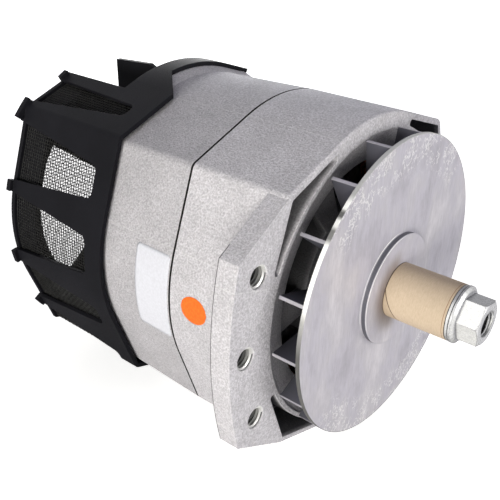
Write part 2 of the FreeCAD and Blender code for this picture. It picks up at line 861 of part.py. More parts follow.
# Rolled paper tube that keeps the nut tight until a pulley is fitted
def shaft_sleeve():
    item = body("shaft_sleeve")
    ring(item, "sleeve_bore_radius", "sleeve_radius", "-sleeve_length", "0")


def nut_washer():
    item = body("nut_washer")
    ring(item, "thread_radius+thread_gap", "washer_radius", "washer_front", "-sleeve_length")


fan_spacer()
shaft_sleeve()
nut_washer()


# Flanged hexagon nut, its corners turned down at the front
def shaft_nut():
    item = body("shaft_nut")
    drawn = hexagon(sketch(item, "nut_front"), "nut_across_flats", turn="nut_turn")
    pad(item, drawn, "nut_height-nut_flange_thickness/2")
    corner = "nut_across_flats/2/cos(30)"
    turned(item, [("nut_across_flats/2-0.4", "nut_front-0.1"), (corner + "+1", "nut_front-0.1"),
                  (corner + "+1", "nut_front+1.4")], "Groove")
    step = "washer_front-nut_flange_thickness"
    turned(item, [("thread_radius-1", step), ("nut_flange_radius-2", step),
                  ("nut_flange_radius", "washer_front-1.2"), ("nut_flange_radius", "washer_front"),
                  ("thread_radius-1", "washer_front")])
    pocket(item, circle(sketch(item, "nut_front-1"), "thread_radius+thread_gap"), "nut_height+2")


shaft_nut()


# Pole wheels: a disc or ring with claws that reach between the claws of the other wheel
def pole_wheel(label, inner, front, rear, outline_ys):
    """Disc or ring with claws: straight at their root and tapered from there to the tip."""
    item = body(label)
    ring(item, inner, "claw_inner_radius-screw_gap", front, rear)
    wide = "rotor_radius*sin(claw_root_angle)"
    slim = "rotor_radius*sin(claw_tip_angle)"
    back, root, tip = outline_ys
    drawn = sketch(item, "claw_inner_radius", "XY_Plane")
    outline(drawn, [("-" + wide, back), (wide, back), (wide, root), (slim, tip), ("-" + slim, tip),
                    ("-" + wide, root)])
    claw = item.newObject("PartDesign::Pad", item.Name + "_claw")
    claw.Profile = drawn
    claw.setExpression("Length", full("rotor_radius-claw_inner_radius"))
    drawn = sketch(item, "claw_inner_radius-claw_root_depth", "XY_Plane")
    outline(drawn, [("-" + wide, front), (wide, front), (wide, rear), ("-" + wide, rear)])
    foot = item.newObject("PartDesign::Pad", item.Name + "_foot")
    foot.Profile = drawn
    foot.setExpression("Length", full("claw_root_depth+1"))
    around(item, [foot, claw], "claw_count")
    low = "front_pole_front-1"
    high = "rear_pole_rear+1"
    turned(item, [("rotor_radius", low), ("rotor_radius+10", low), ("rotor_radius+10", high),
                  ("rotor_radius", high)], "Groove")
    return item


def pole_wheels():
    pole_wheel("front_pole_wheel", "shaft_body_radius+press_gap", "front_pole_front", "front_pole_rear",
               ("front_pole_front", "front_pole_rear", "rear_pole_rear-claw_end_gap"))
    rear = pole_wheel("rear_pole_wheel", "rear_pole_bore", "rear_pole_front", "rear_pole_rear",
                      ("rear_pole_rear", "rear_pole_front", "front_pole_front+claw_end_gap"))
    rear.Placement = FreeCAD.Placement(Vector(0, 0, 0), FreeCAD.Rotation(Vector(0, 1, 0), 30))
    rear.setExpression("Placement.Rotation.Angle", full("180/claw_count"))


def pole_joining_ring():
    item = body("pole_joining_ring")
    outer = "claw_inner_radius-screw_gap"
    ring(item, outer + "-joining_ring_wall", outer, "front_pole_rear", "rear_pole_front")


pole_wheels()
pole_joining_ring()


# Rear cover: lobed shell with tapered ribs, a strap over the top and an open terminal bay
def shell_reach(angle):
    """Formula of the cover's outer radius at an angle from the top; it grows over the lobes."""
    return "cover_radius/cos(max(0; lobe_half_angle-abs(abs(%s-90)-45)))" % angle


def window(item, first, second, side):
    """Opening between two ribs that widens rearward as the ribs narrow; side is + or - along X."""
    middle = "(rib_%d_angle+rib_%d_angle)/2" % (first, second)
    start = "(cover_inner_radius-window_backing)"
    drawn = item.newObject("Sketcher::SketchObject", item.Name + "_sketch")
    drawn.AttachmentSupport = [(datum(item, "XY_Plane"), "")]
    drawn.MapMode = "FlatFace"
    turn = FreeCAD.Rotation(Vector(0, 1, 0), number(side + middle))
    drawn.AttachmentOffset = FreeCAD.Placement(Vector(0, 0, 0), turn)
    drawn.setExpression("AttachmentOffset.Rotation.Angle", full(side + middle))
    drawn.setExpression("AttachmentOffset.Base.x", full("%s%s*sin(%s)" % (side, start, middle)))
    drawn.setExpression("AttachmentOffset.Base.z", full("%s*cos(%s)" % (start, middle)))
    corners = []
    for y, end in (("window_front", "front"), ("cover_rear+1", "rear")):
        low = "(rib_%d_angle+rib_%d_%s/2)" % (first, first, end)
        high = "(rib_%d_angle-rib_%d_%s/2)" % (second, second, end)
        near, far = ["(%s)*sin(%s-%s)" % (shell_reach(edge), edge, middle) for edge in (low, high)]
        corners.append([("%s(%s)" % (side, across), y) for across in (near, far)])
    outline(drawn, [corners[0][0], corners[0][1], corners[1][1], corners[1][0]])
    made = item.newObject("PartDesign::Pocket", item.Name + "_window")
    made.Profile = drawn
    made.Reversed = True
    tip = "cover_radius/cos(lobe_half_angle)"
    made.setExpression("Length", full(tip + "-cover_inner_radius+2*window_backing"))
    return made


def window_corner(edge):
    """True for an edge through the wall at the front corner of a window."""
    ends = [vertex.Point for vertex in edge.Vertexes]
    if len(ends) < 2 or max(abs(point.y - number("window_front")) for point in ends) > 0.01:
        return False
    reach = [math.hypot(point.x, point.z) for point in ends]
    wall = number("cover_wall")
    return abs(reach[0] - reach[1]) > wall * 0.8 and ends[0].distanceToPoint(ends[1]) < wall * 1.6


def rear_cover():
    item = body("rear_cover")
    pad(item, lobed(sketch(item, "cover_front"), "cover_radius"), "cover_rear-cover_front")
    rounded(item, "lobe_round", lobe_corner)
    pocket(item, lobed(sketch(item, "cover_front-1"), "cover_inner_radius"), "cover_rear-cover_front+2")
    for first in range(1, 7):
        window(item, first, first + 1, "-")
    for first in range(3, 7):
        window(item, first, first + 1, "+")
    rounded(item, "window_round", window_corner)
    pad(item, lobed(sketch(item, "cover_plate_front"), "cover_inner_radius+plate_lip"), "rear_plate")
    hooks(item)
    points, arcs = sector("vent_inner_radius", "vent_outer_radius",
                          "45+spoke_half_angle", "135-spoke_half_angle")
    vent = pocket(item, outline(sketch(item, "cover_plate_front-1"), points, arcs), "rear_plate+2")
    around(item, [vent], "4")
    terminal_bay(item)
    notch(item)
    spot = lobe_point("standoff_circle")
    hole = pocket(item, circle(sketch(item, "cover_plate_front-1"), "cover_screw_radius+screw_gap",
                               spot[0], spot[1]), "rear_plate+2")
    around(item, [hole], "4")
    for x in ("-stud_x", "stud_x"):
        pocket(item, circle(sketch(item, "bay_front-1"), "stud_hole_radius", x, "stud_height"), "bay_wall+2")


def hooks(item):
    """Catch at the rear end of each rib, proud of the shell."""
    drawn = sketch(item, "cover_rear-hook_length")
    ends = [("90+rib_%d_angle" % i, i) for i in range(1, 8)] + [("90-rib_%d_angle" % i, i) for i in range(3, 7)]
    for middle, i in ends:
        reach = shell_reach("rib_%d_angle" % i)
        half = "rib_%d_rear/2" % i
        points, arcs = sector(reach + "-cover_wall/2", reach + "+hook_height", "%s-%s" % (middle, half),
                              "%s+%s" % (middle, half))
        outline(drawn, points, arcs)
    pad(item, drawn, "hook_length")


def terminal_bay(item):
    """Open tray at the top behind the strap: a wall on the left, a fin in the middle, open on the right."""
    wide = "(bay_half_width+bay_wall)"
    reach = "cover_inner_radius+1"
    side = "sqrt((%s)^2-%s^2)" % (reach, wide)
    under = "bay_floor-cover_wall"
    points = [("-" + wide, under), (wide, under), (wide, side), ("-" + wide, side)]
    pad(item, outline(sketch(item, "bay_front"), points, {2: (reach, "0")}), "cover_rear-bay_front")
    slant = "(45-lobe_half_angle)"
    ends = ["(cover_radius-0.5-(%s)*sin(%s))/cos(%s)" % (z, slant, slant) for z in (under, "bay_floor")]
    points = [(wide + "-1", under), (ends[0], under), (ends[1], "bay_floor"), (wide + "-1", "bay_floor")]
    shelf_front = "casing_rear+shelf_front_gap"
    pad(item, outline(sketch(item, shelf_front), points), "cover_rear-(%s)" % shelf_front)
    top = "cover_radius+10"
    points = [("-bay_half_width", "bay_floor"), (top, "bay_floor"), (top, top), ("-bay_half_width", top)]
    pocket(item, outline(sketch(item, "strap_rear"), points), "cover_rear-strap_rear+1")
    drawn = sketch(item, "0", "YZ_Plane")
    outline(drawn, [("strap_rear-1", "bay_floor-1"), ("cover_rear", "bay_floor-1"),
                    ("cover_rear", "fin_rear_height"), ("strap_rear+fin_rise", "fin_peak_height"),
                    ("strap_rear-1", "fin_front_height")])
    fin = item.newObject("PartDesign::Pad", item.Name + "_fin")
    fin.Profile = drawn
    fin.Midplane = True
    fin.setExpression("Length", full("fin_thickness"))


def notch(item):
    """Slanted step in the front edge over the top, and the corner cut away beyond the strap's right end."""
    drawn = sketch(item, "cover_radius+20", "XY_Plane")
    lip = "cover_front-1"
    left = "-cover_radius*sin(notch_left_outer)"
    right = "cover_radius+20"
    outline(drawn, [(left, lip), (left, "cover_front"), ("-cover_radius*sin(notch_left_inner)", "strap_front"),
                    ("strap_taper_x", "strap_front"), ("strap_end_x", "strap_end_front"),
                    ("strap_end_x", "cover_rear+1"), (right, "cover_rear+1"), (right, lip)])
    made = item.newObject("PartDesign::Pocket", item.Name + "_notch")
    made.Profile = drawn
    made.setExpression("Length", full("cover_radius+20-bay_floor"))


rear_cover()


# Woven screens: one bent round inside the ribs, one flat disc inside the rear plate, and the clamp ring
def bay_clear(item, front, rear):
    """Leave the terminal bay and the corner to the right of it free."""
    left = "-(bay_half_width+bay_wall+screen_side_gap)"
    bottom = "bay_floor-cover_wall-screen_side_gap"
    far = "cover_radius+20"
    points = [(left, bottom), (far, bottom), (far, far), (left, far)]
    pocket(item, outline(sketch(item, front + "-1"), points), "%s-(%s)+2" % (rear, front))


def mesh_screen():
    item = body("mesh_screen")
    pad(item, lobed(sketch(item, "screen_front"), "screen_radius"), "cover_plate_front-screen_front")
    pocket(item, lobed(sketch(item, "screen_front-1"), "screen_radius-screen_thickness"),
           "cover_plate_front-screen_front+2")
    front, rear = "screen_front+screen_bar", "cover_plate_front-screen_bar"
    drawn = outline(sketch(item, "0", "YZ_Plane"), [(front, "-screen_column_half"), (rear, "-screen_column_half"),
                                                    (rear, "screen_column_half"), (front, "screen_column_half")])
    cut = pocket(item, drawn, "screen_radius*1.2")
    cut.Reversed = True
    around(item, [cut], "screen_columns")
    for row in range(1, 4):
        drawn = sketch(item, "screen_front+%d*screen_row_pitch" % row)
        lobed(drawn, "screen_radius-screen_bar_inset")
        lobed(drawn, "screen_radius-screen_thickness+screen_bar_inset")
        pad(item, drawn, "screen_bar")
    bay_clear(item, "screen_front", "cover_plate_front")


def screen_clamp_ring():
    item = body("screen_clamp_ring")
    pad(item, lobed(sketch(item, "clamp_front"), "clamp_radius"), "cover_plate_front-clamp_front")
    pocket(item, lobed(sketch(item, "clamp_front-1"), "clamp_radius-clamp_wall"),
           "cover_plate_front-clamp_front+2")
    bay_clear(item, "clamp_front", "cover_plate_front")


def slots(item, front, upright):
    """One layer of the grid: slots between its bars, each as long as the rim allows."""
    drawn = sketch(item, front)
    for row in range(-5, 6):
        near, far = ["%d*rear_screen_pitch%srear_screen_opening/2" % (row, sign) for sign in "-+"]
        edge = "%d*rear_screen_pitch+rear_screen_opening/2" % abs(row)
        half = "sqrt((rear_screen_radius-rear_screen_rim)^2-(%s)^2)" % edge
        points = [("-" + half, near), (half, near), (half, far), ("-" + half, far)]
        outline(drawn, [(z, x) for x, z in points] if upright else points)
    pocket(item, drawn, "1+screen_layer")


def rear_mesh():
    item = body("rear_mesh")
    front = "cover_plate_front-screen_thickness"
    pad(item, circle(sketch(item, front), "rear_screen_radius"), "screen_thickness")
    slots(item, front + "-1", False)
    slots(item, "cover_plate_front-screen_layer", True)
    bay_clear(item, front, "cover_plate_front")
    spot = lobe_point("standoff_circle")
    hole = pocket(item, circle(sketch(item, front + "-1"), "standoff_radius+screen_side_gap",
                               spot[0], spot[1]), "screen_thickness+2")
    around(item, [hole], "4")


mesh_screen()
screen_clamp_ring()
rear_mesh()


# Posts between the rear casting and the cover, and the screws in them
def cover_standoffs():
    item = body("cover_standoffs")
    spot = lobe_point("standoff_circle")
    post = pad(item, circle(sketch(item, "casing_rear"), "standoff_radius", spot[0], spot[1]),
               "cover_plate_front-casing_rear")
    hole = pocket(item, circle(sketch(item, "cover_plate_front-cover_screw_bite"),
                               "cover_screw_radius+thread_gap", spot[0], spot[1]), "cover_screw_bite+1")
    around(item, [post, hole], "standoff_count")
    bolts = body("cover_screws")
    parts = screws(bolts, spot, "cover_screw_radius", "cover_plate_front-cover_screw_bite", "cover_rear",
                   "cover_screw_head", "cover_screw_head_height")
    around(bolts, parts, "standoff_count")


cover_standoffs()


# Rectifier: two crescent plates with three diodes each under a terminal board
def crescent(item, inner, outer, front, depth):
    """Piece of a ring below the shaft."""
    points = [at_angle(inner, "270-plate_half_angle"), at_angle(outer, "270-plate_half_angle"),
              at_angle(outer, "270"), at_angle(outer, "270+plate_half_angle"),
              at_angle(inner, "270+plate_half_angle"), at_angle(inner, "270")]
    arcs = {1: (outer, "0"), 2: (outer, "0"), 4: (inner, "0"), 5: (inner, "0")}
    pad(item, outline(sketch(item, front), points, arcs), depth)


def rectifier():
    feet = body("rectifier_feet")
    bolts = body("rectifier_screws")
    diodes = body("rectifier_diodes")
    for side, middle in (("positive", "positive_middle"), ("negative", "negative_middle")):
        plate = body("rectifier_%s_plate" % side)
        crescent(plate, side + "_inner", side + "_outer", "plate_front", "plate_thickness")
        for angle in ("270-foot_angle", "270+foot_angle"):
            x, z = at_angle(middle, angle)
            pocket(plate, circle(sketch(plate, "plate_front-1"), "plate_screw_radius+screw_gap", x, z),
                   "plate_thickness+2")
            foot = circle(circle(sketch(feet, "casing_rear"), "foot_radius", x, z),
                          "plate_screw_radius+screw_gap", x, z)
            pad(feet, foot, "plate_foot")
            screws(bolts, (x, z), "plate_screw_radius", "casing_rear", "plate_rear",
                   "plate_screw_head", "plate_screw_head_height")
        for angle in ("270-diode_spread", "270", "270+diode_spread"):
            x, z = at_angle(middle, angle)
            pad(diodes, circle(sketch(diodes, "plate_rear"), "diode_radius", x, z), "diode_height")
    board = body("terminal_board")
    crescent(board, "positive_inner+2", "negative_outer-2", "board_front", "board_thickness")


rectifier()


# Regulator: moulded block with an ear and a screw on each side
def regulator():
    item = body("regulator")
    half = "regulator_half_width"
    body_points = [("-" + half, "regulator_bottom"), (half, "regulator_bottom"),
                   (half, "regulator_top"), ("-" + half, "regulator_top")]
    pad(item, outline(sketch(item, "casing_rear"), body_points), "regulator_depth")
    middle = "(regulator_bottom+regulator_top)/2"
    wide = half + "+regulator_ear"
    ear = [("-(%s)" % wide, middle + "-5"), (wide, middle + "-5"), (wide, middle + "+5"),
           ("-(%s)" % wide, middle + "+5")]
    pad(item, outline(sketch(item, "casing_rear"), ear), "regulator_ear_thickness")
    bolts = body("regulator_screws")
    for x in ("-(%s+regulator_ear/2)" % half, "%s+regulator_ear/2" % half):
        pocket(item, circle(sketch(item, "casing_rear-1"), "plate_screw_radius+screw_gap", x, middle),
               "regulator_ear_thickness+2")
        screws(bolts, (x, middle), "plate_screw_radius", "casing_rear",
               "casing_rear+regulator_ear_thickness", "plate_screw_head", "plate_screw_head_height")


regulator()


# Terminal block with two round collars that reach into the bay, and the studs and nuts in them
def terminal_block():
    item = body("terminal_block")
    half = "block_half_width"
    points = [("-" + half, "block_bottom"), (half, "block_bottom"),
              (half, "block_top"), ("-" + half, "block_top")]
    pad(item, outline(sketch(item, "casing_rear"), points), "bay_front-casing_rear")
    for x in ("-stud_x", "stud_x"):
        pad(item, circle(sketch(item, "bay_front-1"), "collar_radius", x, "stud_height"),
            "collar_rear-bay_front+1")
        pocket(item, circle(sketch(item, "stud_front"), "stud_neck_radius+press_gap", x, "stud_height"),
               "collar_rear-stud_front+1")


def stud(label, x):
    """Stud with a neck in the block and under the nut, its free threaded end, and its nut."""
    item = body(label + "_stud")
    pad(item, circle(sketch(item, "stud_front"), "stud_neck_radius", x, "stud_height"),
        "stud_thread_front-stud_front")
    pad(item, circle(sketch(item, "stud_thread_front"), "stud_radius", x, "stud_height"),
        "stud_rear-stud_thread_front")
    nut = body(label + "_nut")
    pad(nut, hexagon(sketch(nut, "collar_rear"), "stud_nut_flats", x, "stud_height"), "stud_nut_height")
    pocket(nut, circle(sketch(nut, "collar_rear-1"), "stud_neck_radius+thread_gap", x, "stud_height"),
           "stud_nut_height+2")


terminal_block()
stud("output", "stud_x")
stud("ground", "-stud_x")

doc.recompute()


def written():
    """Check every object and write one file for each sub-part."""
    for made in doc.Objects:
        if "Invalid" in made.State or "Error" in made.State:
            raise RuntimeError("%s failed: %s" % (made.Name, made.State))
        if made.TypeId in ("PartDesign::Pocket", "PartDesign::Groove", "PartDesign::SubtractiveLoft"):
            before = made.BaseFeature.Shape.Volume
            if before - made.Shape.Volume < 0.01:
                raise RuntimeError("%s cuts nothing" % made.Name)
    for item in nodes:
        shape = item.Shape
        if shape.isNull() or not shape.isValid() or not shape.Solids:
            raise RuntimeError("%s has no sound solid" % item.Label)
        shape.exportStep("parts/%s.step" % item.Label)


written()
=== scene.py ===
import json
import math
import bpy
from mathutils import Matrix, Vector


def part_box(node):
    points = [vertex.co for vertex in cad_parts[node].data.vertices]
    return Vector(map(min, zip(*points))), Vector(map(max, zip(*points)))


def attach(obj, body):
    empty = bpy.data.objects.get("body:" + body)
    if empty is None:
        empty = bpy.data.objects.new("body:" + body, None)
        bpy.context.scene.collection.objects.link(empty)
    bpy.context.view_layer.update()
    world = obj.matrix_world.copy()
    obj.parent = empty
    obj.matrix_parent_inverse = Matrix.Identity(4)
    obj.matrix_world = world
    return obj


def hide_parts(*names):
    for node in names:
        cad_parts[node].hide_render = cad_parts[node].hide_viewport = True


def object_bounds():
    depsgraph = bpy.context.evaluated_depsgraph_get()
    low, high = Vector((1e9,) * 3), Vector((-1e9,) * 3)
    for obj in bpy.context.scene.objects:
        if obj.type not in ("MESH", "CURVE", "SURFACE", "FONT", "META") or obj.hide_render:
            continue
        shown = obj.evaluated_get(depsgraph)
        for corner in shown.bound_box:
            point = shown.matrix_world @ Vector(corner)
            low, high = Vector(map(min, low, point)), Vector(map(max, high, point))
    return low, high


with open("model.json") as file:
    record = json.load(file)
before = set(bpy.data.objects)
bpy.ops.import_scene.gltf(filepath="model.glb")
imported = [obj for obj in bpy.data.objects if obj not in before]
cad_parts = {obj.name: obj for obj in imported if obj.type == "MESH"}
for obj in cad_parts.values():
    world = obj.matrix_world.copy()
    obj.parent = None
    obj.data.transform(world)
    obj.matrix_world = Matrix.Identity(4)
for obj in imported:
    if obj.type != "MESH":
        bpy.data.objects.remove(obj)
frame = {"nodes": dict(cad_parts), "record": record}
cad_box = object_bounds()
MM = 0.001

# Stator core and winding. The core is a stack of thin punched steel sheets clamped between the castings;
# enamelled copper wire lies in its slots and is laced and varnished where it turns round at both ends.


def finish(name, colour, roughness, metallic=0.0, **sockets):
    """A new material with its plain numbers on the shader's own sockets."""
    made = bpy.data.materials.new(name)
    made.use_nodes = True
    shader = made.node_tree.nodes["Principled BSDF"]
    shader.inputs["Base Color"].default_value = (*colour, 1)
    shader.inputs["Roughness"].default_value = roughness
    shader.inputs["Metallic"].default_value = metallic
    for socket, value in sockets.items():
        shader.inputs[socket.replace("_", " ")].default_value = value
    return made


def join(made, kind, inputs=None, **settings):
    """Add a shader node; an input is a number, a colour or another node's output."""
    node = made.node_tree.nodes.new("ShaderNode" + kind)
    for key, value in settings.items():
        setattr(node, key, value)
    for key, value in (inputs or {}).items():
        if isinstance(value, bpy.types.NodeSocket):
            made.node_tree.links.new(value, node.inputs[key])
        else:
            node.inputs[key].default_value = value
    return node


def feed(made, socket, output):
    """Lead an output to a socket of the material's shader."""
    shader = made.node_tree.nodes["Principled BSDF"]
    made.node_tree.links.new(output, shader.inputs[socket])


def place_of(made, stretch=(1, 1, 1), turn=(0, 0, 0)):
    """The object's own coordinates in metres, stretched or turned."""
    at = join(made, "TexCoord").outputs["Object"]
    return join(made, "Mapping", {"Vector": at, "Scale": stretch, "Rotation": turn}).outputs["Vector"]


def stripes(made, at, rate, direction, wave=0.0, wave_size=1.0):
    """Even stripes across an axis; a wave bends them."""
    return join(made, "TexWave", {"Vector": at, "Scale": rate, "Distortion": wave, "Detail Scale": wave_size},
                bands_direction=direction).outputs["Fac"]


def shades(made, value, *stops):
    """Colours for a value from 0 to 1; each stop is a place and a grey or a colour."""
    ramp = join(made, "ValToRGB", {"Fac": value})
    elements = ramp.color_ramp.elements
    while len(elements) < len(stops):
        elements.new(0.5)
    for element, (spot, shade) in zip(elements, stops):
        element.position = spot
        colour = shade if isinstance(shade, tuple) else (shade, shade, shade)
        element.color = (*colour, 1)
    return ramp.outputs["Color"]


def relief(made, height, depth, strength, normal=None):
    """Bumps of a depth in metres, over an earlier normal."""
    inputs = {"Height": height, "Distance": depth, "Strength": strength}
    if normal is not None:
        inputs["Normal"] = normal
    return join(made, "Bump", inputs).outputs["Normal"]


def coat(made, *names):
    """Give solids from the frame their material."""
    for name in names:
        for slot in frame["nodes"][name].material_slots:
            slot.material = made


lamination_steel = finish("lamination_steel", (0.16, 0.16, 0.17), 0.5, 0.7)
sheets = stripes(lamination_steel, place_of(lamination_steel), 320.0, "Y", 0.3)
feed(lamination_steel, "Base Color", shades(lamination_steel, sheets, (0.2, 0.07), (0.7, 0.22)))
feed(lamination_steel, "Normal", relief(lamination_steel, sheets, 0.2 * MM, 0.5))
coat(lamination_steel, "stator_core")

enamelled_copper = finish("enamelled_copper", (0.42, 0.14, 0.05), 0.32, 0.6)
turns = stripes(enamelled_copper, place_of(enamelled_copper, turn=(0, 0.5, 0.35)), 260.0, "X", 6.0, 0.6)
feed(enamelled_copper, "Base Color",
     shades(enamelled_copper, turns, (0.15, (0.10, 0.03, 0.012)), (0.75, (0.45, 0.16, 0.06))))
feed(enamelled_copper, "Normal", relief(enamelled_copper, turns, 0.6 * MM, 0.8))
coat(enamelled_copper, "stator_winding", "field_coil")

# Castings. Both housings are sand-blasted aluminium castings, pale and speckled, with a faint flash line where
# each side of a lobe begins and a rubber gasket between them. The front one carries the side pad, whose three
# holes are tapped for the bracket's bolts; its lobes have sunk pockets behind the fan.


def grain(made, at, size, detail=2.0, rough=0.5):
    """Noise whose lumps are about this many metres across."""
    return join(made, "TexNoise", {"Vector": at, "Scale": 1 / size, "Detail": detail,
                                   "Roughness": rough}).outputs["Fac"]


def blend(made, kind, amount, below, above):
    """Mix two colours."""
    mix = join(made, "Mix", data_type="RGBA", blend_type=kind)
    for index, value in ((0, amount), (6, below), (7, above)):
        if isinstance(value, bpy.types.NodeSocket):
            made.node_tree.links.new(value, mix.inputs[index])
        elif index == 0:
            mix.inputs[index].default_value = value
        else:
            mix.inputs[index].default_value = (*value, 1)
    return mix.outputs[2]


def sums(made, operation, first, second=0.0):
    """Result of one sum on a value."""
    return join(made, "Math", {0: first, 1: second}, operation=operation).outputs[0]


def product(made, value, *others):
    """A value times all the others."""
    for other in others:
        value = sums(made, "MULTIPLY", value, other)
    return value


def strongest(made, value, *others):
    """The largest of the values."""
    for other in others:
        value = sums(made, "MAXIMUM", value, other)
    return value


def ramp_of(made, value, low, high):
    """0 below the low number, 1 above the high one, soft between them."""
    return join(made, "MapRange", {"Value": value, "From Min": low, "From Max": high},
                interpolation_type="SMOOTHSTEP").outputs[0]


def between(made, value, low, high, soft):
    """1 from the low number to the high one, 0 outside."""
    return product(made, ramp_of(made, value, low - soft, low), ramp_of(made, value, high + soft, high))


def line_at(made, distance, half_width, core):
    """1 where a distance is near nothing, 0 beyond the half width; the core is the full part of the line."""
    return ramp_of(made, sums(made, "ABSOLUTE", distance), half_width, half_width * core)


def axes_of(made):
    """The object's coordinates as separate outputs X, Y and Z."""
    return join(made, "SeparateXYZ", {"Vector": place_of(made)}).outputs


def shaft_places(made):
    """Distance from the shaft's axis and distance along it, in metres."""
    axes = axes_of(made)
    flat = join(made, "CombineXYZ", {"X": axes["X"], "Z": axes["Z"]}).outputs[0]
    return join(made, "VectorMath", {0: flat}, operation="LENGTH").outputs["Value"], axes["Y"]


def toward(made, angle):
    """Distance from the shaft's axis in the direction of an angle round it."""
    way = (math.cos(math.radians(angle)), 0, math.sin(math.radians(angle)))
    return join(made, "VectorMath", {0: place_of(made), 1: way}, operation="DOT_PRODUCT").outputs["Value"]


def soft_edges(made, radius):
    """Shading normal that rounds the sharp edges of the solid."""
    return join(made, "Bevel", {"Radius": radius}, samples=6).outputs["Normal"]


def bent(made, rounded):
    """1 where the rounded normal turns away from the flat one, which is along the sharp edges."""
    flat = join(made, "NewGeometry").outputs["Normal"]
    likeness = join(made, "VectorMath", {0: rounded, 1: flat}, operation="DOT_PRODUCT").outputs["Value"]
    return ramp_of(made, likeness, 0.97, 0.9)


mounts = {mount["name"]: mount for mount in frame["record"]["mounts"]}
hole_names = ("upper", "middle", "lower")
lobe_sides = (19.6, 70.4, 109.6, 160.4)


def dark_space(made, reach, along):
    """1 on the walls of the space inside the casing, which no light reaches."""
    wall_radius, outside_wall = 82.5 * MM, 83.3 * MM
    front_lit, front_dark = 20 * MM, 34 * MM
    rear_dark, rear_lit = 135.8 * MM, 137 * MM
    return product(made, ramp_of(made, reach, outside_wall, wall_radius),
                   ramp_of(made, along, front_lit, front_dark), ramp_of(made, along, rear_lit, rear_dark))


def lobe_pocket_shade(made, reach, along):
    """Nearly 1 in the pockets of the lobes, where shade is painted. The skew is 0.5 on a lobe's middle line and
    falls to its sides.
    """
    least_skew, full_skew = 0.365, 0.405
    flat_outside, flat_inside = 88.9 * MM, 88.5 * MM
    bore_edge, pocket_edge = 84.0 * MM, 84.6 * MM
    mouth, depth, darkness = 21.5 * MM, 25 * MM, 0.9
    axes = axes_of(made)
    slope = sums(made, "ABSOLUTE", product(made, axes["X"], axes["Z"]))
    skew = sums(made, "DIVIDE", slope, product(made, reach, reach))
    flats = [sums(made, "ABSOLUTE", toward(made, angle)) for angle in lobe_sides]
    return product(made, ramp_of(made, skew, least_skew, full_skew),
                   ramp_of(made, strongest(made, *flats), flat_outside, flat_inside),
                   ramp_of(made, along, mouth, depth), darkness, ramp_of(made, reach, bore_edge, pocket_edge))


def hole_bore_shade(made, name, along):
    """1 inside a hole of the pad, behind its bright mouth, where shade is painted."""
    x, _, z = mounts["pad_hole_" + name]["pos_m"]
    rim, wall = 6.35 * MM, 6.1 * MM
    mouth_end, bore_start = 21.9 * MM, 22.6 * MM
    off = join(made, "VectorMath", {0: place_of(made), 1: (x, 0, z)}, operation="SUBTRACT").outputs[0]
    off = join(made, "VectorMath", {0: off, 1: (1, 0, 1)}, operation="MULTIPLY").outputs[0]
    off = join(made, "VectorMath", {0: off}, operation="LENGTH").outputs["Value"]
    return product(made, ramp_of(made, off, rim, wall), ramp_of(made, along, mouth_end, bore_start))


def blasted_aluminium(name, light):
    """Cast aluminium after blasting: fine bright and dark grains over slow cloudy changes."""
    made = finish(name, (light, light, light), 0.62, 0.08, Specular_IOR_Level=0.35)
    fine = grain(made, place_of(made), 1.0 * MM, 3.0, 0.62)
    cloud = grain(made, place_of(made), 26 * MM, 5.0, 0.6)
    dark_grain = (light * 0.74, light * 0.72, light * 0.79)
    plain_grain = (light * 0.94, light * 0.92, light * 0.995)
    bright_grain = (light * 1.17, light * 1.145, light * 1.23)
    speck = shades(made, fine, (0.35, dark_grain), (0.50, plain_grain), (0.64, bright_grain))
    skin = blend(made, "MULTIPLY", 1.0, speck, shades(made, cloud, (0.32, 0.86), (0.66, 1.0)))

    flash_half, flash_core, flash_share = 0.45 * MM, 0.3, 0.3
    flash_tone = (light * 1.25, light * 1.25, light * 1.27)
    flash = strongest(made, *[line_at(made, toward(made, angle + 90), flash_half, flash_core)
                              for angle in lobe_sides])
    skin = blend(made, "MIX", product(made, flash, flash_share), skin, flash_tone)
    rounded = soft_edges(made, 0.7 * MM)
    # Painted highlight: the sharp edges are lightened, as where light catches them.
    edge_highlight_share = 0.16
    skin = blend(made, "ADD", product(made, bent(made, rounded), edge_highlight_share), skin, (1.0, 1.0, 1.0))

    reach, along = shaft_places(made)
    # Painted shade: the walls inside the casing, the lobes' pockets and the pad's holes are made nearly black.
    shaded = strongest(made, dark_space(made, reach, along), lobe_pocket_shade(made, reach, along),
                       *[hole_bore_shade(made, name, along) for name in hole_names])
    skin = blend(made, "MIX", shaded, skin, (0.045, 0.045, 0.05))

    joint_front, joint_rear, line_soft = 79.38 * MM, 80.62 * MM, 0.05 * MM
    joint = between(made, along, joint_front, joint_rear, line_soft)
    # The dark line at the joint is the gasket joint; the dark line along the pad's rear edge, where it meets
    # the barrel, is painted shadow.
    pad_rear_front, pad_rear_end, pad_rear_soft, pad_edge_shadow_share = 32.6 * MM, 33.1 * MM, 0.1 * MM, 0.75
    pad_inner, pad_outer = -98 * MM, -99 * MM
    pad_edge_shadow = product(made, between(made, along, pad_rear_front, pad_rear_end, pad_rear_soft),
                       ramp_of(made, axes_of(made)["X"], pad_inner, pad_outer), pad_edge_shadow_share)
    skin = blend(made, "MIX", strongest(made, joint, pad_edge_shadow), skin, (0.02, 0.02, 0.02))

    feed(made, "Base Color", skin)
    feed(made, "Roughness", shades(made, fine, (0.3, 0.72), (0.7, 0.5)))
    feed(made, "Normal", relief(made, fine, 0.8 * MM, 0.8, rounded))
    return made


coat(blasted_aluminium("front_casting", 0.60), "drive_end_housing")
rear_casting = blasted_aluminium("rear_casting", 0.51)
coat(rear_casting, "rear_housing")

gasket_rubber = finish("gasket_rubber", (0.012, 0.012, 0.013), 0.6, Specular_IOR_Level=0.2)
rubber_grain = grain(gasket_rubber, place_of(gasket_rubber), 0.6 * MM)
feed(gasket_rubber, "Normal", relief(gasket_rubber, rubber_grain, 0.1 * MM, 0.4))
coat(gasket_rubber, "joint_gasket")


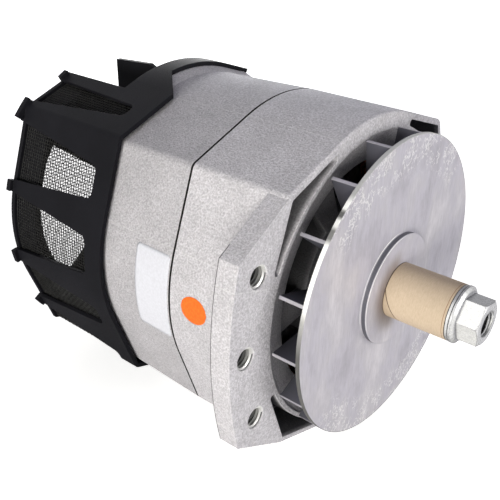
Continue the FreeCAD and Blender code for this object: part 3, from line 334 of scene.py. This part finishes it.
def show(name, points, faces, made, body, smooth=True):
    """A new piece from its points in metres, riding on a body."""
    mesh = bpy.data.meshes.new(name)
    mesh.from_pydata(points, [], faces)
    mesh.materials.append(made)
    mesh.polygons.foreach_set("use_smooth", [smooth] * len(mesh.polygons))
    mesh.update()
    piece = bpy.data.objects.new(name, mesh)
    bpy.context.scene.collection.objects.link(piece)
    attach(piece, body)
    return piece


def thread(name, x, z, front, rear, root, crest, pitch, made, body):
    """Helical ridge along the shaft direction between a root radius and a crest radius."""
    steps = 40
    total = int((rear - front) / pitch * steps)
    half = pitch * 0.38
    crest_half = half * 0.35
    section = ((root, -half), (crest, -crest_half), (crest, crest_half), (root, half))
    points = []
    faces = []
    for i in range(total + 1):
        turn = 2 * math.pi * i / steps
        y = front + pitch * i / steps
        for radius, shift in section:
            along = min(max(y + shift, front), rear)
            points.append((x + radius * math.cos(turn), along, z + radius * math.sin(turn)))
        if i:
            first = 4 * (i - 1)
            faces += [(first + k, first + (k + 1) % 4, first + 4 + (k + 1) % 4, first + 4 + k)
                      for k in range(4)]
    faces += [(0, 1, 2, 3), (4 * total + 3, 4 * total + 2, 4 * total + 1, 4 * total)]
    return show(name, points, faces, made, body, smooth=False)


cut_aluminium = finish("cut_aluminium", (0.60, 0.60, 0.61), 0.3, 0.4)
cut_along = shaft_places(cut_aluminium)[1]
# Painted shade: the tapped threads darken from the hole's mouth towards its depth.
thread_depth_shade = ramp_of(cut_aluminium, cut_along, 22 * MM, 29 * MM)
cut_marks = grain(cut_aluminium, place_of(cut_aluminium, (1, 6, 1)), 0.5 * MM)
feed(cut_aluminium, "Base Color", shades(cut_aluminium, thread_depth_shade, (0.0, 0.85), (0.5, 0.4), (1.0, 0.06)))
feed(cut_aluminium, "Normal", relief(cut_aluminium, cut_marks, 0.05 * MM, 0.4))
pad_front = mounts["pad_face"]["pos_m"][1]
thread_inset = 0.4 * MM
for place in hole_names:
    tapped = mounts["pad_hole_" + place]
    wall = tapped["dims"]["r_mm"] * MM
    depth = tapped["dims"]["length_mm"] * MM
    thread("thread_pad_" + place, tapped["pos_m"][0], tapped["pos_m"][2], front=pad_front + thread_inset,
           rear=pad_front + depth - thread_inset, root=wall - 0.02 * MM, crest=wall - 1.0 * MM,
           pitch=1.75 * MM, made=cut_aluminium, body="casing")

# Bearings, retainer and field parts. Ground steel rings with polished rollers between them; the
# retainer is a stamped plate under four plated screws, and the field core a turned iron spool.

ground_steel = finish("ground_steel", (0.50, 0.50, 0.51), 0.24, 0.95)
turning = stripes(ground_steel, place_of(ground_steel), 900.0, "Y", 1.0)
steel_along = shaft_places(ground_steel)[1]
steel_cloud = grain(ground_steel, place_of(ground_steel), 9 * MM)
steel_tone = shades(ground_steel, steel_cloud, (0.3, 0.42), (0.7, 0.56))
# Painted shade: the shaft's front end, deep inside the nut, is made nearly black.
lit_until, shaded_from = -36 * MM, -38 * MM
shaft_end_shade = ramp_of(ground_steel, steel_along, lit_until, shaded_from)
feed(ground_steel, "Base Color", blend(ground_steel, "MIX", shaft_end_shade, steel_tone, (0.04, 0.04, 0.045)))
feed(ground_steel, "Normal", relief(ground_steel, turning, 0.02 * MM, 0.5, soft_edges(ground_steel, 0.4 * MM)))
coat(ground_steel, "front_bearing_outer_ring", "front_bearing_inner_ring", "front_bearing_rollers",
     "rear_bearing_outer_ring", "rear_bearing_inner_ring", "rear_bearing_rollers", "bearing_retainer",
     "rotor_shaft", "shaft_key", "fan_spacer", "pole_joining_ring", "cover_standoffs", "rectifier_diodes")

dark_iron = finish("dark_iron", (0.10, 0.10, 0.105), 0.5, 0.7)
mill = grain(dark_iron, place_of(dark_iron), 2.5 * MM, 4.0, 0.6)
feed(dark_iron, "Base Color", shades(dark_iron, mill, (0.3, 0.06), (0.7, 0.15)))
feed(dark_iron, "Normal", relief(dark_iron, mill, 0.15 * MM, 0.4, soft_edges(dark_iron, 0.6 * MM)))
coat(dark_iron, "field_core", "front_pole_wheel", "rear_pole_wheel")

# Screws, nut and washer. Zinc-plated steel, bright with a slight blue cast and tiny scratches, with painted
# shade along its edges and on some faces. The nut is a flange nut with a fine thread, run on to the shaft's
# nose.

bright_zinc = finish("bright_zinc", (0.72, 0.73, 0.75), 0.26, 0.2)
handled = grain(bright_zinc, place_of(bright_zinc), 1.6 * MM, 4.0, 0.65)
zinc_reach, zinc_along = shaft_places(bright_zinc)
facing = join(bright_zinc, "SeparateXYZ", {"Vector": join(bright_zinc, "TexCoord").outputs["Normal"]}).outputs
# Painted shade: the upper, under and front faces, the sharp edges and the flange are darkened below for how the
# light falls on them.
upper_side = ramp_of(bright_zinc, facing["Z"], 0.62, 0.9)
under_side = ramp_of(bright_zinc, facing["Z"], -0.1, -0.6)
front_side = ramp_of(bright_zinc, facing["Y"], -0.8, -0.95)
shaded_edge = bent(bright_zinc, soft_edges(bright_zinc, 0.9 * MM))
flange = ramp_of(bright_zinc, zinc_along, -40.5 * MM, -40.0 * MM)
zinc_tone = shades(bright_zinc, handled, (0.3, (0.78, 0.79, 0.81)), (0.65, (0.96, 0.97, 0.98)))
for part, tone in ((upper_side, (0.42, 0.42, 0.43)), (under_side, (0.45, 0.45, 0.45)),
                   (front_side, (0.62, 0.62, 0.65)), (shaded_edge, (0.35, 0.35, 0.37)),
                   (flange, (0.72, 0.72, 0.73))):
    zinc_tone = blend(bright_zinc, "MULTIPLY", part, zinc_tone, tone)

nut_low, nut_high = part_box("shaft_nut")
sleeve_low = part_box("shaft_sleeve")[0]
groove_inside, groove_outside = 6.96 * MM, 7.2 * MM
# Painted shade: the nut's bore and the thin gaps where nut, washer and sleeve meet are made nearly black.
bore = product(bright_zinc, between(bright_zinc, zinc_reach, groove_inside, groove_outside, 0.03 * MM),
               ramp_of(bright_zinc, zinc_along, nut_low.y + 0.5 * MM, nut_low.y + 1.5 * MM))
under_nut = between(bright_zinc, zinc_along, nut_high.y - 0.2 * MM, nut_high.y + 0.3 * MM, 0.05 * MM)
under_washer = between(bright_zinc, zinc_along, sleeve_low.y - 0.4 * MM, sleeve_low.y + 0.1 * MM, 0.05 * MM)
gap_shade = product(bright_zinc, strongest(bright_zinc, under_nut, under_washer),
                 ramp_of(bright_zinc, zinc_reach, 14 * MM, 14.3 * MM))
zinc_tone = blend(bright_zinc, "MIX", strongest(bright_zinc, bore, gap_shade), zinc_tone, (0.03, 0.03, 0.035))
feed(bright_zinc, "Base Color", zinc_tone)
feed(bright_zinc, "Roughness", shades(bright_zinc, handled, (0.3, 0.36), (0.7, 0.2)))
feed(bright_zinc, "Normal", relief(bright_zinc, handled, 0.06 * MM, 0.4, soft_edges(bright_zinc, 0.4 * MM)))
coat(bright_zinc, "shaft_nut", "nut_washer", "retainer_screws", "field_core_screws", "through_bolts",
     "cover_screws", "rectifier_screws", "regulator_screws")

shaft_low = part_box("rotor_shaft")[0]
thread("thread_nut", 0, 0, front=nut_low.y + 0.6 * MM, rear=shaft_low.y - 0.2 * MM, root=7.04 * MM,
       crest=6.2 * MM, pitch=1.5 * MM, made=bright_zinc, body="rotor")

# Shaft sleeve. A short tube rolled from kraft paper and glued, with a thin brown line near its front end, a
# slanting seam where the wrap stops and painted shadow along its rear edge; it fills the pulley's place until
# one is fitted.

kraft = finish("kraft", (0.62, 0.48, 0.35), 0.7, Specular_IOR_Level=0.2)
kraft_axes = axes_of(kraft)
fibre = grain(kraft, place_of(kraft, (1, 5, 1)), 2.2 * MM, 4.0, 0.6)
paper = shades(kraft, fibre, (0.3, (0.46, 0.365, 0.27)), (0.7, (0.56, 0.455, 0.345)))
seam_height, seam_slope = 7 * MM, 0.42
below_seam = product(kraft, sums(kraft, "SUBTRACT", seam_height, kraft_axes["Z"]), seam_slope)
behind_wrap = sums(kraft, "ADD", kraft_axes["Y"], sums(kraft, "MAXIMUM", below_seam, 0.0))
rear_part = product(kraft, ramp_of(kraft, behind_wrap, 0.0, 0.1 * MM), 0.25)
paper = blend(kraft, "MIX", rear_part, paper, (0.25, 0.17, 0.11))
from_line = sums(kraft, "SUBTRACT", kraft_axes["Y"], sleeve_low.y + 1.2 * MM)
front_line = product(kraft, line_at(kraft, from_line, 0.2 * MM, 0.6), 0.7)
paper = blend(kraft, "MIX", front_line, paper, (0.20, 0.08, 0.03))
paper = blend(kraft, "MIX", line_at(kraft, behind_wrap, 0.28 * MM, 0.6), paper, (0.05, 0.025, 0.015))
# Painted shadow: the rear edge, where the sleeve meets the fan, is made nearly black.
rear_edge_shadow = product(kraft, ramp_of(kraft, kraft_axes["Y"], -0.6 * MM, -0.3 * MM), 0.8)
paper = blend(kraft, "MIX", rear_edge_shadow, paper, (0.04, 0.025, 0.02))
feed(kraft, "Base Color", paper)
feed(kraft, "Normal", relief(kraft, fibre, 0.08 * MM, 0.4, soft_edges(kraft, 0.4 * MM)))
coat(kraft, "shaft_sleeve")

# Fan. One aluminium casting: a turned disc with a raised boss in front and straight vanes behind; its face
# is worn to a cloudy shine with small marks near the rim at the top and bottom, with a painted reflection of
# the sleeve beside it, painted reflections round the rim and painted shade behind the disc.

fan_face = finish("fan_face", (0.52, 0.51, 0.57), 0.48, 0.25, Specular_IOR_Level=0.35)
fan_reach, fan_along = shaft_places(fan_face)
fan_axes = axes_of(fan_face)
rim_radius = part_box("fan")[1].x
haze = grain(fan_face, place_of(fan_face, (1, 1, 0.5)), 22 * MM, 5.0, 0.62)
streak = grain(fan_face, place_of(fan_face, (1, 1, 0.16), (0, 0.12, 0)), 1.3 * MM, 3.0, 0.6)
cloudy = shades(fan_face, haze, (0.30, (0.40, 0.385, 0.445)), (0.48, (0.53, 0.515, 0.59)),
                (0.56, (0.54, 0.525, 0.585)), (0.72, (0.68, 0.66, 0.715)))
face = blend(fan_face, "MULTIPLY", 1.0, cloudy, shades(fan_face, streak, (0.3, 0.86), (0.7, 1.0)))

squiggle = grain(fan_face, place_of(fan_face, (1, 1, 0.7)), 2.1 * MM, 1.5)
squiggle = ramp_of(fan_face, sums(fan_face, "ABSOLUTE", sums(fan_face, "SUBTRACT", squiggle, 0.5)), 0.05, 0.028)
patch = ramp_of(fan_face, grain(fan_face, place_of(fan_face), 9 * MM, 2.0), 0.42, 0.5)
near_rim = ramp_of(fan_face, fan_reach, 0.72 * rim_radius, 0.84 * rim_radius)
upright = sums(fan_face, "DIVIDE", sums(fan_face, "ABSOLUTE", fan_axes["Z"]), fan_reach)
on_front = ramp_of(fan_face, fan_along, 3.2 * MM, 2.8 * MM)
struck = product(fan_face, near_rim, patch, ramp_of(fan_face, upright, 0.58, 0.7), on_front, squiggle)
face = blend(fan_face, "MIX", product(fan_face, struck, 0.9), face, (1.0, 1.0, 1.0))
# Painted reflection: a brown reflection of the sleeve on the face to its left.
sleeve_reflection = product(fan_face, ramp_of(fan_face, fan_reach, 27 * MM, 16 * MM),
                      ramp_of(fan_face, fan_axes["X"], 4 * MM, -6 * MM), 0.72)
face = blend(fan_face, "MIX", sleeve_reflection, face, (0.22, 0.17, 0.14))

# Painted reflection: the light and dark bands round the rim stand for the surroundings reflected in its edge.
rim = product(fan_face, ramp_of(fan_face, fan_reach, rim_radius - 0.4 * MM, rim_radius - 0.2 * MM),
              ramp_of(fan_face, fan_along, 5.5 * MM, 5.2 * MM))
turn = sums(fan_face, "ARCTAN2", fan_axes["Z"], product(fan_face, fan_axes["X"], -1.0))
turn = join(fan_face, "MapRange", {"Value": turn, "From Min": -math.pi / 2, "From Max": math.pi / 2}).outputs[0]
rim_reflection = shades(fan_face, turn, (0.50, 0.12), (0.57, 0.4), (0.60, 0.95), (0.71, 0.95), (0.722, 0.2),
                     (0.739, 0.2), (0.747, 0.85), (0.758, 0.85), (0.765, 0.12), (0.776, 0.12),
                     (0.782, 0.95), (0.794, 0.95), (0.811, 0.45), (1.0, 0.5))
face = blend(fan_face, "MIX", rim, face, rim_reflection)

# Behind the disc the vanes keep a dark cast skin, with painted shade that grows darker towards the back.
disc_back, rim_back = 5.15 * MM, 5.6 * MM
behind = product(fan_face, ramp_of(fan_face, fan_along, disc_back, rim_back),
                 ramp_of(fan_face, fan_reach, rim_radius - 0.25 * MM, rim_radius - 0.7 * MM))
vane_skin_and_shade = shades(fan_face, ramp_of(fan_face, fan_along, 6 * MM, 30 * MM), (0.0, (0.11, 0.11, 0.14)),
                (1.0, (0.03, 0.03, 0.034)))
face = blend(fan_face, "MIX", behind, face, vane_skin_and_shade)
vane_end = product(fan_face, ramp_of(fan_face, fan_along, 5.2 * MM, rim_back),
                   ramp_of(fan_face, fan_reach, rim_radius - 0.7 * MM, rim_radius - 0.3 * MM))
face = blend(fan_face, "MULTIPLY", vane_end, face, (0.72, 0.72, 0.72))

boss_step = product(fan_face, between(fan_face, fan_reach, 31.2 * MM, 31.6 * MM, 0.15 * MM),
                    between(fan_face, fan_along, 0.5 * MM, 2.6 * MM, 0.2 * MM))
face = blend(fan_face, "MIX", boss_step, face, (0.10, 0.10, 0.12))
boss_foot = between(fan_face, fan_reach, 31.75 * MM, 32.3 * MM, 0.1 * MM)
boss_edge = product(fan_face, between(fan_face, fan_reach, 30.9 * MM, 31.25 * MM, 0.1 * MM),
                    ramp_of(fan_face, fan_along, 0.6 * MM, 0.3 * MM))
glints = product(fan_face, strongest(fan_face, boss_foot, boss_edge),
                 ramp_of(fan_face, fan_axes["X"], 6 * MM, -8 * MM),
                 ramp_of(fan_face, fan_axes["Z"], -18 * MM, -4 * MM))
face = blend(fan_face, "MIX", glints, face, (1.0, 1.0, 1.0))

feed(fan_face, "Base Color", face)
feed(fan_face, "Roughness", shades(fan_face, haze, (0.3, 0.56), (0.7, 0.42)))
dented = relief(fan_face, struck, 0.5 * MM, 0.8, soft_edges(fan_face, 0.5 * MM))
feed(fan_face, "Normal", relief(fan_face, streak, 0.04 * MM, 0.35, dented))
coat(fan_face, "fan")

# Rectifier, regulator and terminals on the rear wall: sawn aluminium plates, black moulded blocks and
# brass studs with hexagon nuts, held by small plated screws.

sawn_plate = finish("sawn_plate", (0.60, 0.60, 0.61), 0.4, 0.85)
strokes = grain(sawn_plate, place_of(sawn_plate, (1, 1, 12)), 2.0 * MM, 3.0)
feed(sawn_plate, "Base Color", shades(sawn_plate, strokes, (0.3, 0.48), (0.7, 0.64)))
feed(sawn_plate, "Normal", relief(sawn_plate, strokes, 0.05 * MM, 0.4, soft_edges(sawn_plate, 0.5 * MM)))
coat(sawn_plate, "rectifier_positive_plate", "rectifier_negative_plate")

stud_brass = finish("stud_brass", (0.72, 0.50, 0.20), 0.28, 0.95)
stud_turns = stripes(stud_brass, place_of(stud_brass), 250.0, "Y")
feed(stud_brass, "Base Color", shades(stud_brass, grain(stud_brass, place_of(stud_brass), 3 * MM),
                                      (0.3, (0.55, 0.36, 0.13)), (0.7, (0.76, 0.55, 0.24))))
feed(stud_brass, "Normal", relief(stud_brass, stud_turns, 0.5 * MM, 0.7, soft_edges(stud_brass, 0.4 * MM)))
coat(stud_brass, "output_stud", "ground_stud")

nut_brass = finish("nut_brass", (0.74, 0.53, 0.22), 0.26, 0.95)
tumbled = grain(nut_brass, place_of(nut_brass), 1.5 * MM, 3.0)
feed(nut_brass, "Base Color", shades(nut_brass, tumbled, (0.3, (0.6, 0.40, 0.15)), (0.7, (0.78, 0.57, 0.26))))
feed(nut_brass, "Normal", relief(nut_brass, tumbled, 0.05 * MM, 0.4, soft_edges(nut_brass, 0.4 * MM)))
coat(nut_brass, "output_nut", "ground_nut")

# Rear cover and its screens. The cover is moulded in black nylon with a fine matt grain; woven wire cloth
# lies inside its ribs and behind its rear plate, pressed there by a ring. Both screens stop at the bay.


def moulded_black(name, shade, depth):
    """Matt black moulding with a fine spark-eroded grain."""
    made = finish(name, (shade, shade, shade * 1.1), 0.55, Specular_IOR_Level=0.06)
    fine = grain(made, place_of(made), 0.5 * MM, 2.0)
    slow = grain(made, place_of(made), 30 * MM, 3.0)
    feed(made, "Base Color", shades(made, slow, (0.3, (shade * 0.85, shade * 0.85, shade * 1.1)),
                                    (0.7, (shade * 1.15, shade * 1.15, shade * 1.5))))
    feed(made, "Roughness", shades(made, fine, (0.3, 0.62), (0.7, 0.48)))
    feed(made, "Normal", relief(made, fine, depth, 0.35, soft_edges(made, 0.6 * MM)))
    return made


black_nylon = moulded_black("black_nylon", 0.009, 0.12 * MM)
coat(black_nylon, "rear_cover", "screen_clamp_ring")
black_resin = moulded_black("black_resin", 0.012, 0.08 * MM)
coat(black_resin, "rectifier_feet", "terminal_board", "regulator", "terminal_block")

dark_wire = finish("dark_wire", (0.02, 0.02, 0.022), 0.5, 0.0, Specular_IOR_Level=0.2)
wire_tone = grain(dark_wire, place_of(dark_wire), 3 * MM)
feed(dark_wire, "Base Color", shades(dark_wire, wire_tone, (0.3, 0.010), (0.7, 0.03)))
wire_pitch = 1.9 * MM
wire_half = 0.22 * MM
lobe_half = math.radians(25.4)
bay_left, bay_bottom = -43.1 * MM, 56.9 * MM


def woven(name, spot, first_count, second_count, node):
    """Cloth of round wires; spot(i, k) gives a crossing's point, outward and two wire directions, or None."""
    section = ((1, 0), (0, 1), (-1, 0), (0, -1))
    points = []
    faces = []

    def wire(crossings, side_index, weave):
        """One wire through its crossings, over and under in turn, in as many runs as the gaps leave."""
        run = []
        for i, k in crossings:
            found = spot(i, k)
            if found is not None:
                over = wire_half * (1 if (i + k + weave) % 2 else -1)
                run.append((found[0] + found[1] * over, found[1], found[2 + side_index]))
            if run and (found is None or (i, k) == crossings[-1]):
                first = len(points)
                for centre, out, side in run:
                    for a, b in section:
                        points.append(tuple(centre + out * a * wire_half + side * b * wire_half))
                for step in range(len(run) - 1):
                    low = first + 4 * step
                    faces.extend((low + j, low + (j + 1) % 4, low + 4 + (j + 1) % 4, low + 4 + j)
                                 for j in range(4))
                run = []

    for i in range(first_count):
        wire([(i, k) for k in range(second_count)], 0, 0)
    for k in range(second_count):
        wire([(i, k) for i in range(first_count)], 1, 1)
    cloth = show(name, points, faces, dark_wire, "casing")
    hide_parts(node)
    return cloth


def lobed_spot(radius, distance):
    """Point, outward direction and side direction at a distance round the lobed outline, from the top."""
    arc = radius * (math.pi / 2 - 2 * lobe_half)
    leg = radius * math.tan(lobe_half)
    quarter, rest = divmod(distance + arc / 2, arc + 2 * leg)
    start = math.pi / 2 * (quarter + 1) - arc / 2 / radius
    if rest <= arc:
        angle, slide = start + rest / radius, 0.0
    elif rest <= arc + leg:
        angle, slide = start + arc / radius, rest - arc
    else:
        angle, slide = start + math.pi / 2, rest - arc - 2 * leg
    out = Vector((math.cos(angle), 0, math.sin(angle)))
    side = Vector((-math.sin(angle), 0, math.cos(angle)))
    return out * radius + side * slide, out, side


def round_length(radius):
    """Length of the lobed outline."""
    return 4 * (radius * (math.pi / 2 - 2 * lobe_half) + 2 * radius * math.tan(lobe_half))


screen_low, screen_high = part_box("mesh_screen")
screen_radius = -screen_low.z - 3 * wire_half


def screen_spot(i, k):
    """A crossing of the screen behind the ribs."""
    point, out, side = lobed_spot(screen_radius, (i + 0.5) * wire_pitch)
    if point.x > bay_left and point.z > bay_bottom:
        return None
    y = screen_low.y + wire_half * 2 + k * wire_pitch
    return point + Vector((0, y, 0)), out, side, Vector((0, 1, 0))


woven("screen_wires", screen_spot, int(round_length(screen_radius) / wire_pitch),
      int((screen_high.y - screen_low.y - 4 * wire_half) / wire_pitch) + 1, "mesh_screen")

rear_low, rear_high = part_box("rear_mesh")
post_half = 5 * MM
post_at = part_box("cover_standoffs")[1].x - post_half
post_gap = 1 * MM


def rear_spot(i, k):
    """A crossing of the flat screen behind the rear plate, clear of the four posts."""
    x = rear_low.x + wire_half * 2 + i * wire_pitch
    z = rear_low.z + wire_half * 2 + k * wire_pitch
    if math.hypot(x, z) > rear_high.x - wire_half or (x > bay_left and z > bay_bottom):
        return None
    if math.hypot(abs(x) - post_at, abs(z) - post_at) < post_half + post_gap:
        return None
    middle = (rear_low.y + rear_high.y) / 2
    return Vector((x, middle, z)), Vector((0, 1, 0)), Vector((1, 0, 0)), Vector((0, 0, 1))


woven("rear_wires", rear_spot, int((rear_high.x - rear_low.x) / wire_pitch),
      int((rear_high.z - rear_low.z) / wire_pitch), "rear_mesh")

# Strap end and the casing's rim under it. The cover's strap runs on over the top to the right and stops with
# a blunt end; the rear casting rises to it in a low rim that carries it.

strap_inside, strap_outside = 92.0, 94.55
strap_front, strap_rear = 150.05, 162.95
strap_section = ((strap_inside, strap_front), (strap_outside, strap_front), (strap_outside, strap_rear),
                 (strap_inside, strap_rear))
rim_section = ((88.0, 143.0), (89.5, 143.0), (91.95, 150.0), (88.0, 150.0))
strap_stop = 55.5


def over_the_top(name, section, start, stop, made):
    """Strip across the top of the casing, from start to stop in millimetres round the strap's outside. The
    section's corners are distances from the shaft and along it."""
    steps = 24
    points = []
    for step in range(steps + 1):
        for reach, y in section:
            distance = (start + (stop - start) * step / steps) * MM * reach / strap_outside
            place = lobed_spot(reach * MM, distance)[0]
            points.append((-place.x, y * MM, place.z))
    faces = [(0, 1, 2, 3), tuple(4 * steps + corner for corner in (3, 2, 1, 0))]
    for step in range(steps):
        for side in range(4):
            after = (side + 1) % 4
            faces.append((4 * step + side, 4 * step + 4 + side, 4 * step + 4 + after, 4 * step + after))
    show(name, points, faces, made, "casing", smooth=False)


over_the_top("strap_end", strap_section, 33.0, strap_stop, black_nylon)
over_the_top("strap_rim", rim_section, -30.0, strap_stop, rear_casting)

# Label and sticker. A blank paper label on the rear casting and a plain round orange sticker on the front
# one, both thin and stuck to the curve of the casing.

label_paper = finish("label_paper", (0.80, 0.80, 0.84), 0.45, Specular_IOR_Level=0.35)
pulp = grain(label_paper, place_of(label_paper), 1.2 * MM, 3.0)
white = shades(label_paper, pulp, (0.3, (0.60, 0.61, 0.68)), (0.7, (0.67, 0.68, 0.76)))
feed(label_paper, "Base Color", white)
feed(label_paper, "Normal", relief(label_paper, pulp, 0.03 * MM, 0.3))

sticker_orange = finish("sticker_orange", (0.90, 0.14, 0.012), 0.35, Specular_IOR_Level=0.4)
ink = grain(sticker_orange, place_of(sticker_orange), 1.0 * MM, 3.0)
orange = shades(sticker_orange, ink, (0.3, (0.72, 0.12, 0.008)), (0.7, (0.88, 0.18, 0.015)))
feed(sticker_orange, "Base Color", orange)
feed(sticker_orange, "Normal", relief(sticker_orange, ink, 0.02 * MM, 0.3))

casing_radius = 91.5 * MM
rear_casting_front = 80.6 * MM
sheet_under, sheet_top = 0.02 * MM, 0.12 * MM


def stuck(name, angle, y, half_round, half_along, corner, draft, made):
    """Thin sheet with rounded corners, bent round the casing; the draft is how fast the casing narrows."""
    round_corner, along_corner = corner
    columns, rows = 24, 20
    short_of_end = 0.999
    points = []
    for lift in (sheet_under, sheet_top):
        for row in range(rows + 1):
            along = half_along * (2 * row / rows - 1) * short_of_end
            past = max(0.0, abs(along) - (half_along - along_corner)) / along_corner
            wide = half_round - round_corner * (1 - math.sqrt(1 - past * past))
            for column in range(columns + 1):
                turn = angle + wide * (2 * column / columns - 1) / casing_radius
                reach = casing_radius + lift - draft * max(0.0, y + along - rear_casting_front)
                points.append((reach * math.cos(turn), y + along, reach * math.sin(turn)))
    wide_row = columns + 1
    sheet = wide_row * (rows + 1)
    faces = []
    for row in range(rows):
        for column in range(columns):
            first = row * wide_row + column
            lower = (first, first + 1, first + wide_row + 1, first + wide_row)
            faces.append(lower[::-1])
            faces.append(tuple(sheet + point for point in lower))
    rim = list(range(columns))
    rim += [row * wide_row + columns for row in range(rows)]
    rim += [rows * wide_row + column for column in range(columns, 0, -1)]
    rim += [row * wide_row for row in range(rows, 0, -1)]
    faces += [(a, b, sheet + b, sheet + a) for a, b in zip(rim, rim[1:] + rim[:1])]
    return show(name, points, faces, made, "casing")


stuck("blank_label", angle=math.radians(178.3), y=93.9 * MM, half_round=24.6 * MM, half_along=12.4 * MM,
      corner=(2 * MM, 2 * MM), draft=math.tan(math.radians(1.8)), made=label_paper)
stuck("round_sticker", angle=math.radians(177.4), y=63.0 * MM, half_round=7.4 * MM, half_along=8.6 * MM,
      corner=(7.4 * MM, 8.6 * MM), draft=0, made=sticker_orange)

# Studio: a pale floor in white surroundings, one strong lamp at the left and weaker ones in front, above and
# behind. The surroundings are white to the eye and in reflections, the floor to the eye, and both light the
# object only a little.

lamp_aim = (0, 0.08, 0)


def lamp(name, at, width, height, power, tint=(1, 1, 1)):
    """Soft rectangular lamp."""
    light = bpy.data.lights.new(name, "AREA")
    light.shape = "RECTANGLE"
    light.size = width
    light.size_y = height
    light.energy = power
    light.color = tint
    holder = bpy.data.objects.new(name, light)
    holder.location = at
    holder.rotation_euler = (Vector(lamp_aim) - Vector(at)).to_track_quat("-Z", "Y").to_euler()
    bpy.context.scene.collection.objects.link(holder)


lamp("lamp_left", at=(-1.3, -0.35, 0.1), width=1.2, height=0.4, power=22.5, tint=(1.0, 0.975, 0.89))
lamp("lamp_front", at=(0.35, -1.4, 0.25), width=1.2, height=0.6, power=12.5, tint=(1.0, 0.985, 0.95))
lamp("lamp_above", at=(0.3, 0.3, 1.4), width=1.2, height=1.2, power=3.2, tint=(0.84, 0.82, 1.0))
lamp("lamp_behind", at=(1.1, 1.2, 0.15), width=0.8, height=0.8, power=12)

surroundings = bpy.data.worlds.new("surroundings")
surroundings.use_nodes = True
bpy.context.scene.world = surroundings
unseen_level, seen_level = 0.12, 1.0
light_path = join(surroundings, "LightPath").outputs
seen = strongest(surroundings, light_path["Is Camera Ray"], light_path["Is Glossy Ray"],
                 light_path["Is Transmission Ray"])
strength = join(surroundings, "MapRange", {"Value": seen, "To Min": unseen_level, "To Max": seen_level})
background = surroundings.node_tree.nodes["Background"]
background.inputs["Color"].default_value = (1, 1, 1, 1)
surroundings.node_tree.links.new(strength.outputs[0], background.inputs["Strength"])

floor_height = cad_box[0][2] - 0.5 * MM
floor_half = 6
floor_corners = ((-1, -1), (1, -1), (1, 1), (-1, 1))
floor_mesh = bpy.data.meshes.new("floor")
floor_mesh.from_pydata([(x * floor_half, y * floor_half, floor_height) for x, y in floor_corners], [],
                       [(0, 1, 2, 3)])
floor = bpy.data.objects.new("floor", floor_mesh)
bpy.context.scene.collection.objects.link(floor)
floor_paint = finish("floor_paint", (0.9, 0.9, 0.9), 0.9, Specular_IOR_Level=0.0, Emission_Color=(1, 1, 1, 1))
floor_away = join(floor_paint, "VectorMath", {0: place_of(floor_paint)}, operation="LENGTH").outputs["Value"]
floor_level = join(floor_paint, "MapRange", {"Value": floor_away, "From Min": 0.35, "From Max": 0.9,
                                             "To Min": 0.75, "To Max": 1.0}).outputs[0]
floor_seen = join(floor_paint, "LightPath").outputs["Is Camera Ray"]
feed(floor_paint, "Emission Strength", product(floor_paint, floor_seen, floor_level))
floor_mesh.materials.append(floor_paint)

# Camera: the photograph's viewpoint, above and to the left of the pulley side, with a 54 mm lens on a 36 mm
# frame. Its directions were found from the circles of the fan, the sleeve and the joint.

camera = bpy.data.cameras.new("camera")
camera.lens = 54
camera.sensor_width = 36
camera_holder = bpy.data.objects.new("camera", camera)
bpy.context.scene.collection.objects.link(camera_holder)
camera_place = (-315.7 * MM, -156.6 * MM, 207.6 * MM)
right = Vector((0.6392, -0.7689, 0.0128))
up = Vector((0.3577, 0.3120, 0.8801))
back = right.cross(up).normalized()
right = up.cross(back).normalized()
camera_holder.matrix_world = Matrix((*zip(right, up, back, camera_place), (0, 0, 0, 1)))
bpy.context.scene.camera = camera_holder
bpy.context.scene.view_settings.view_transform = "Standard"
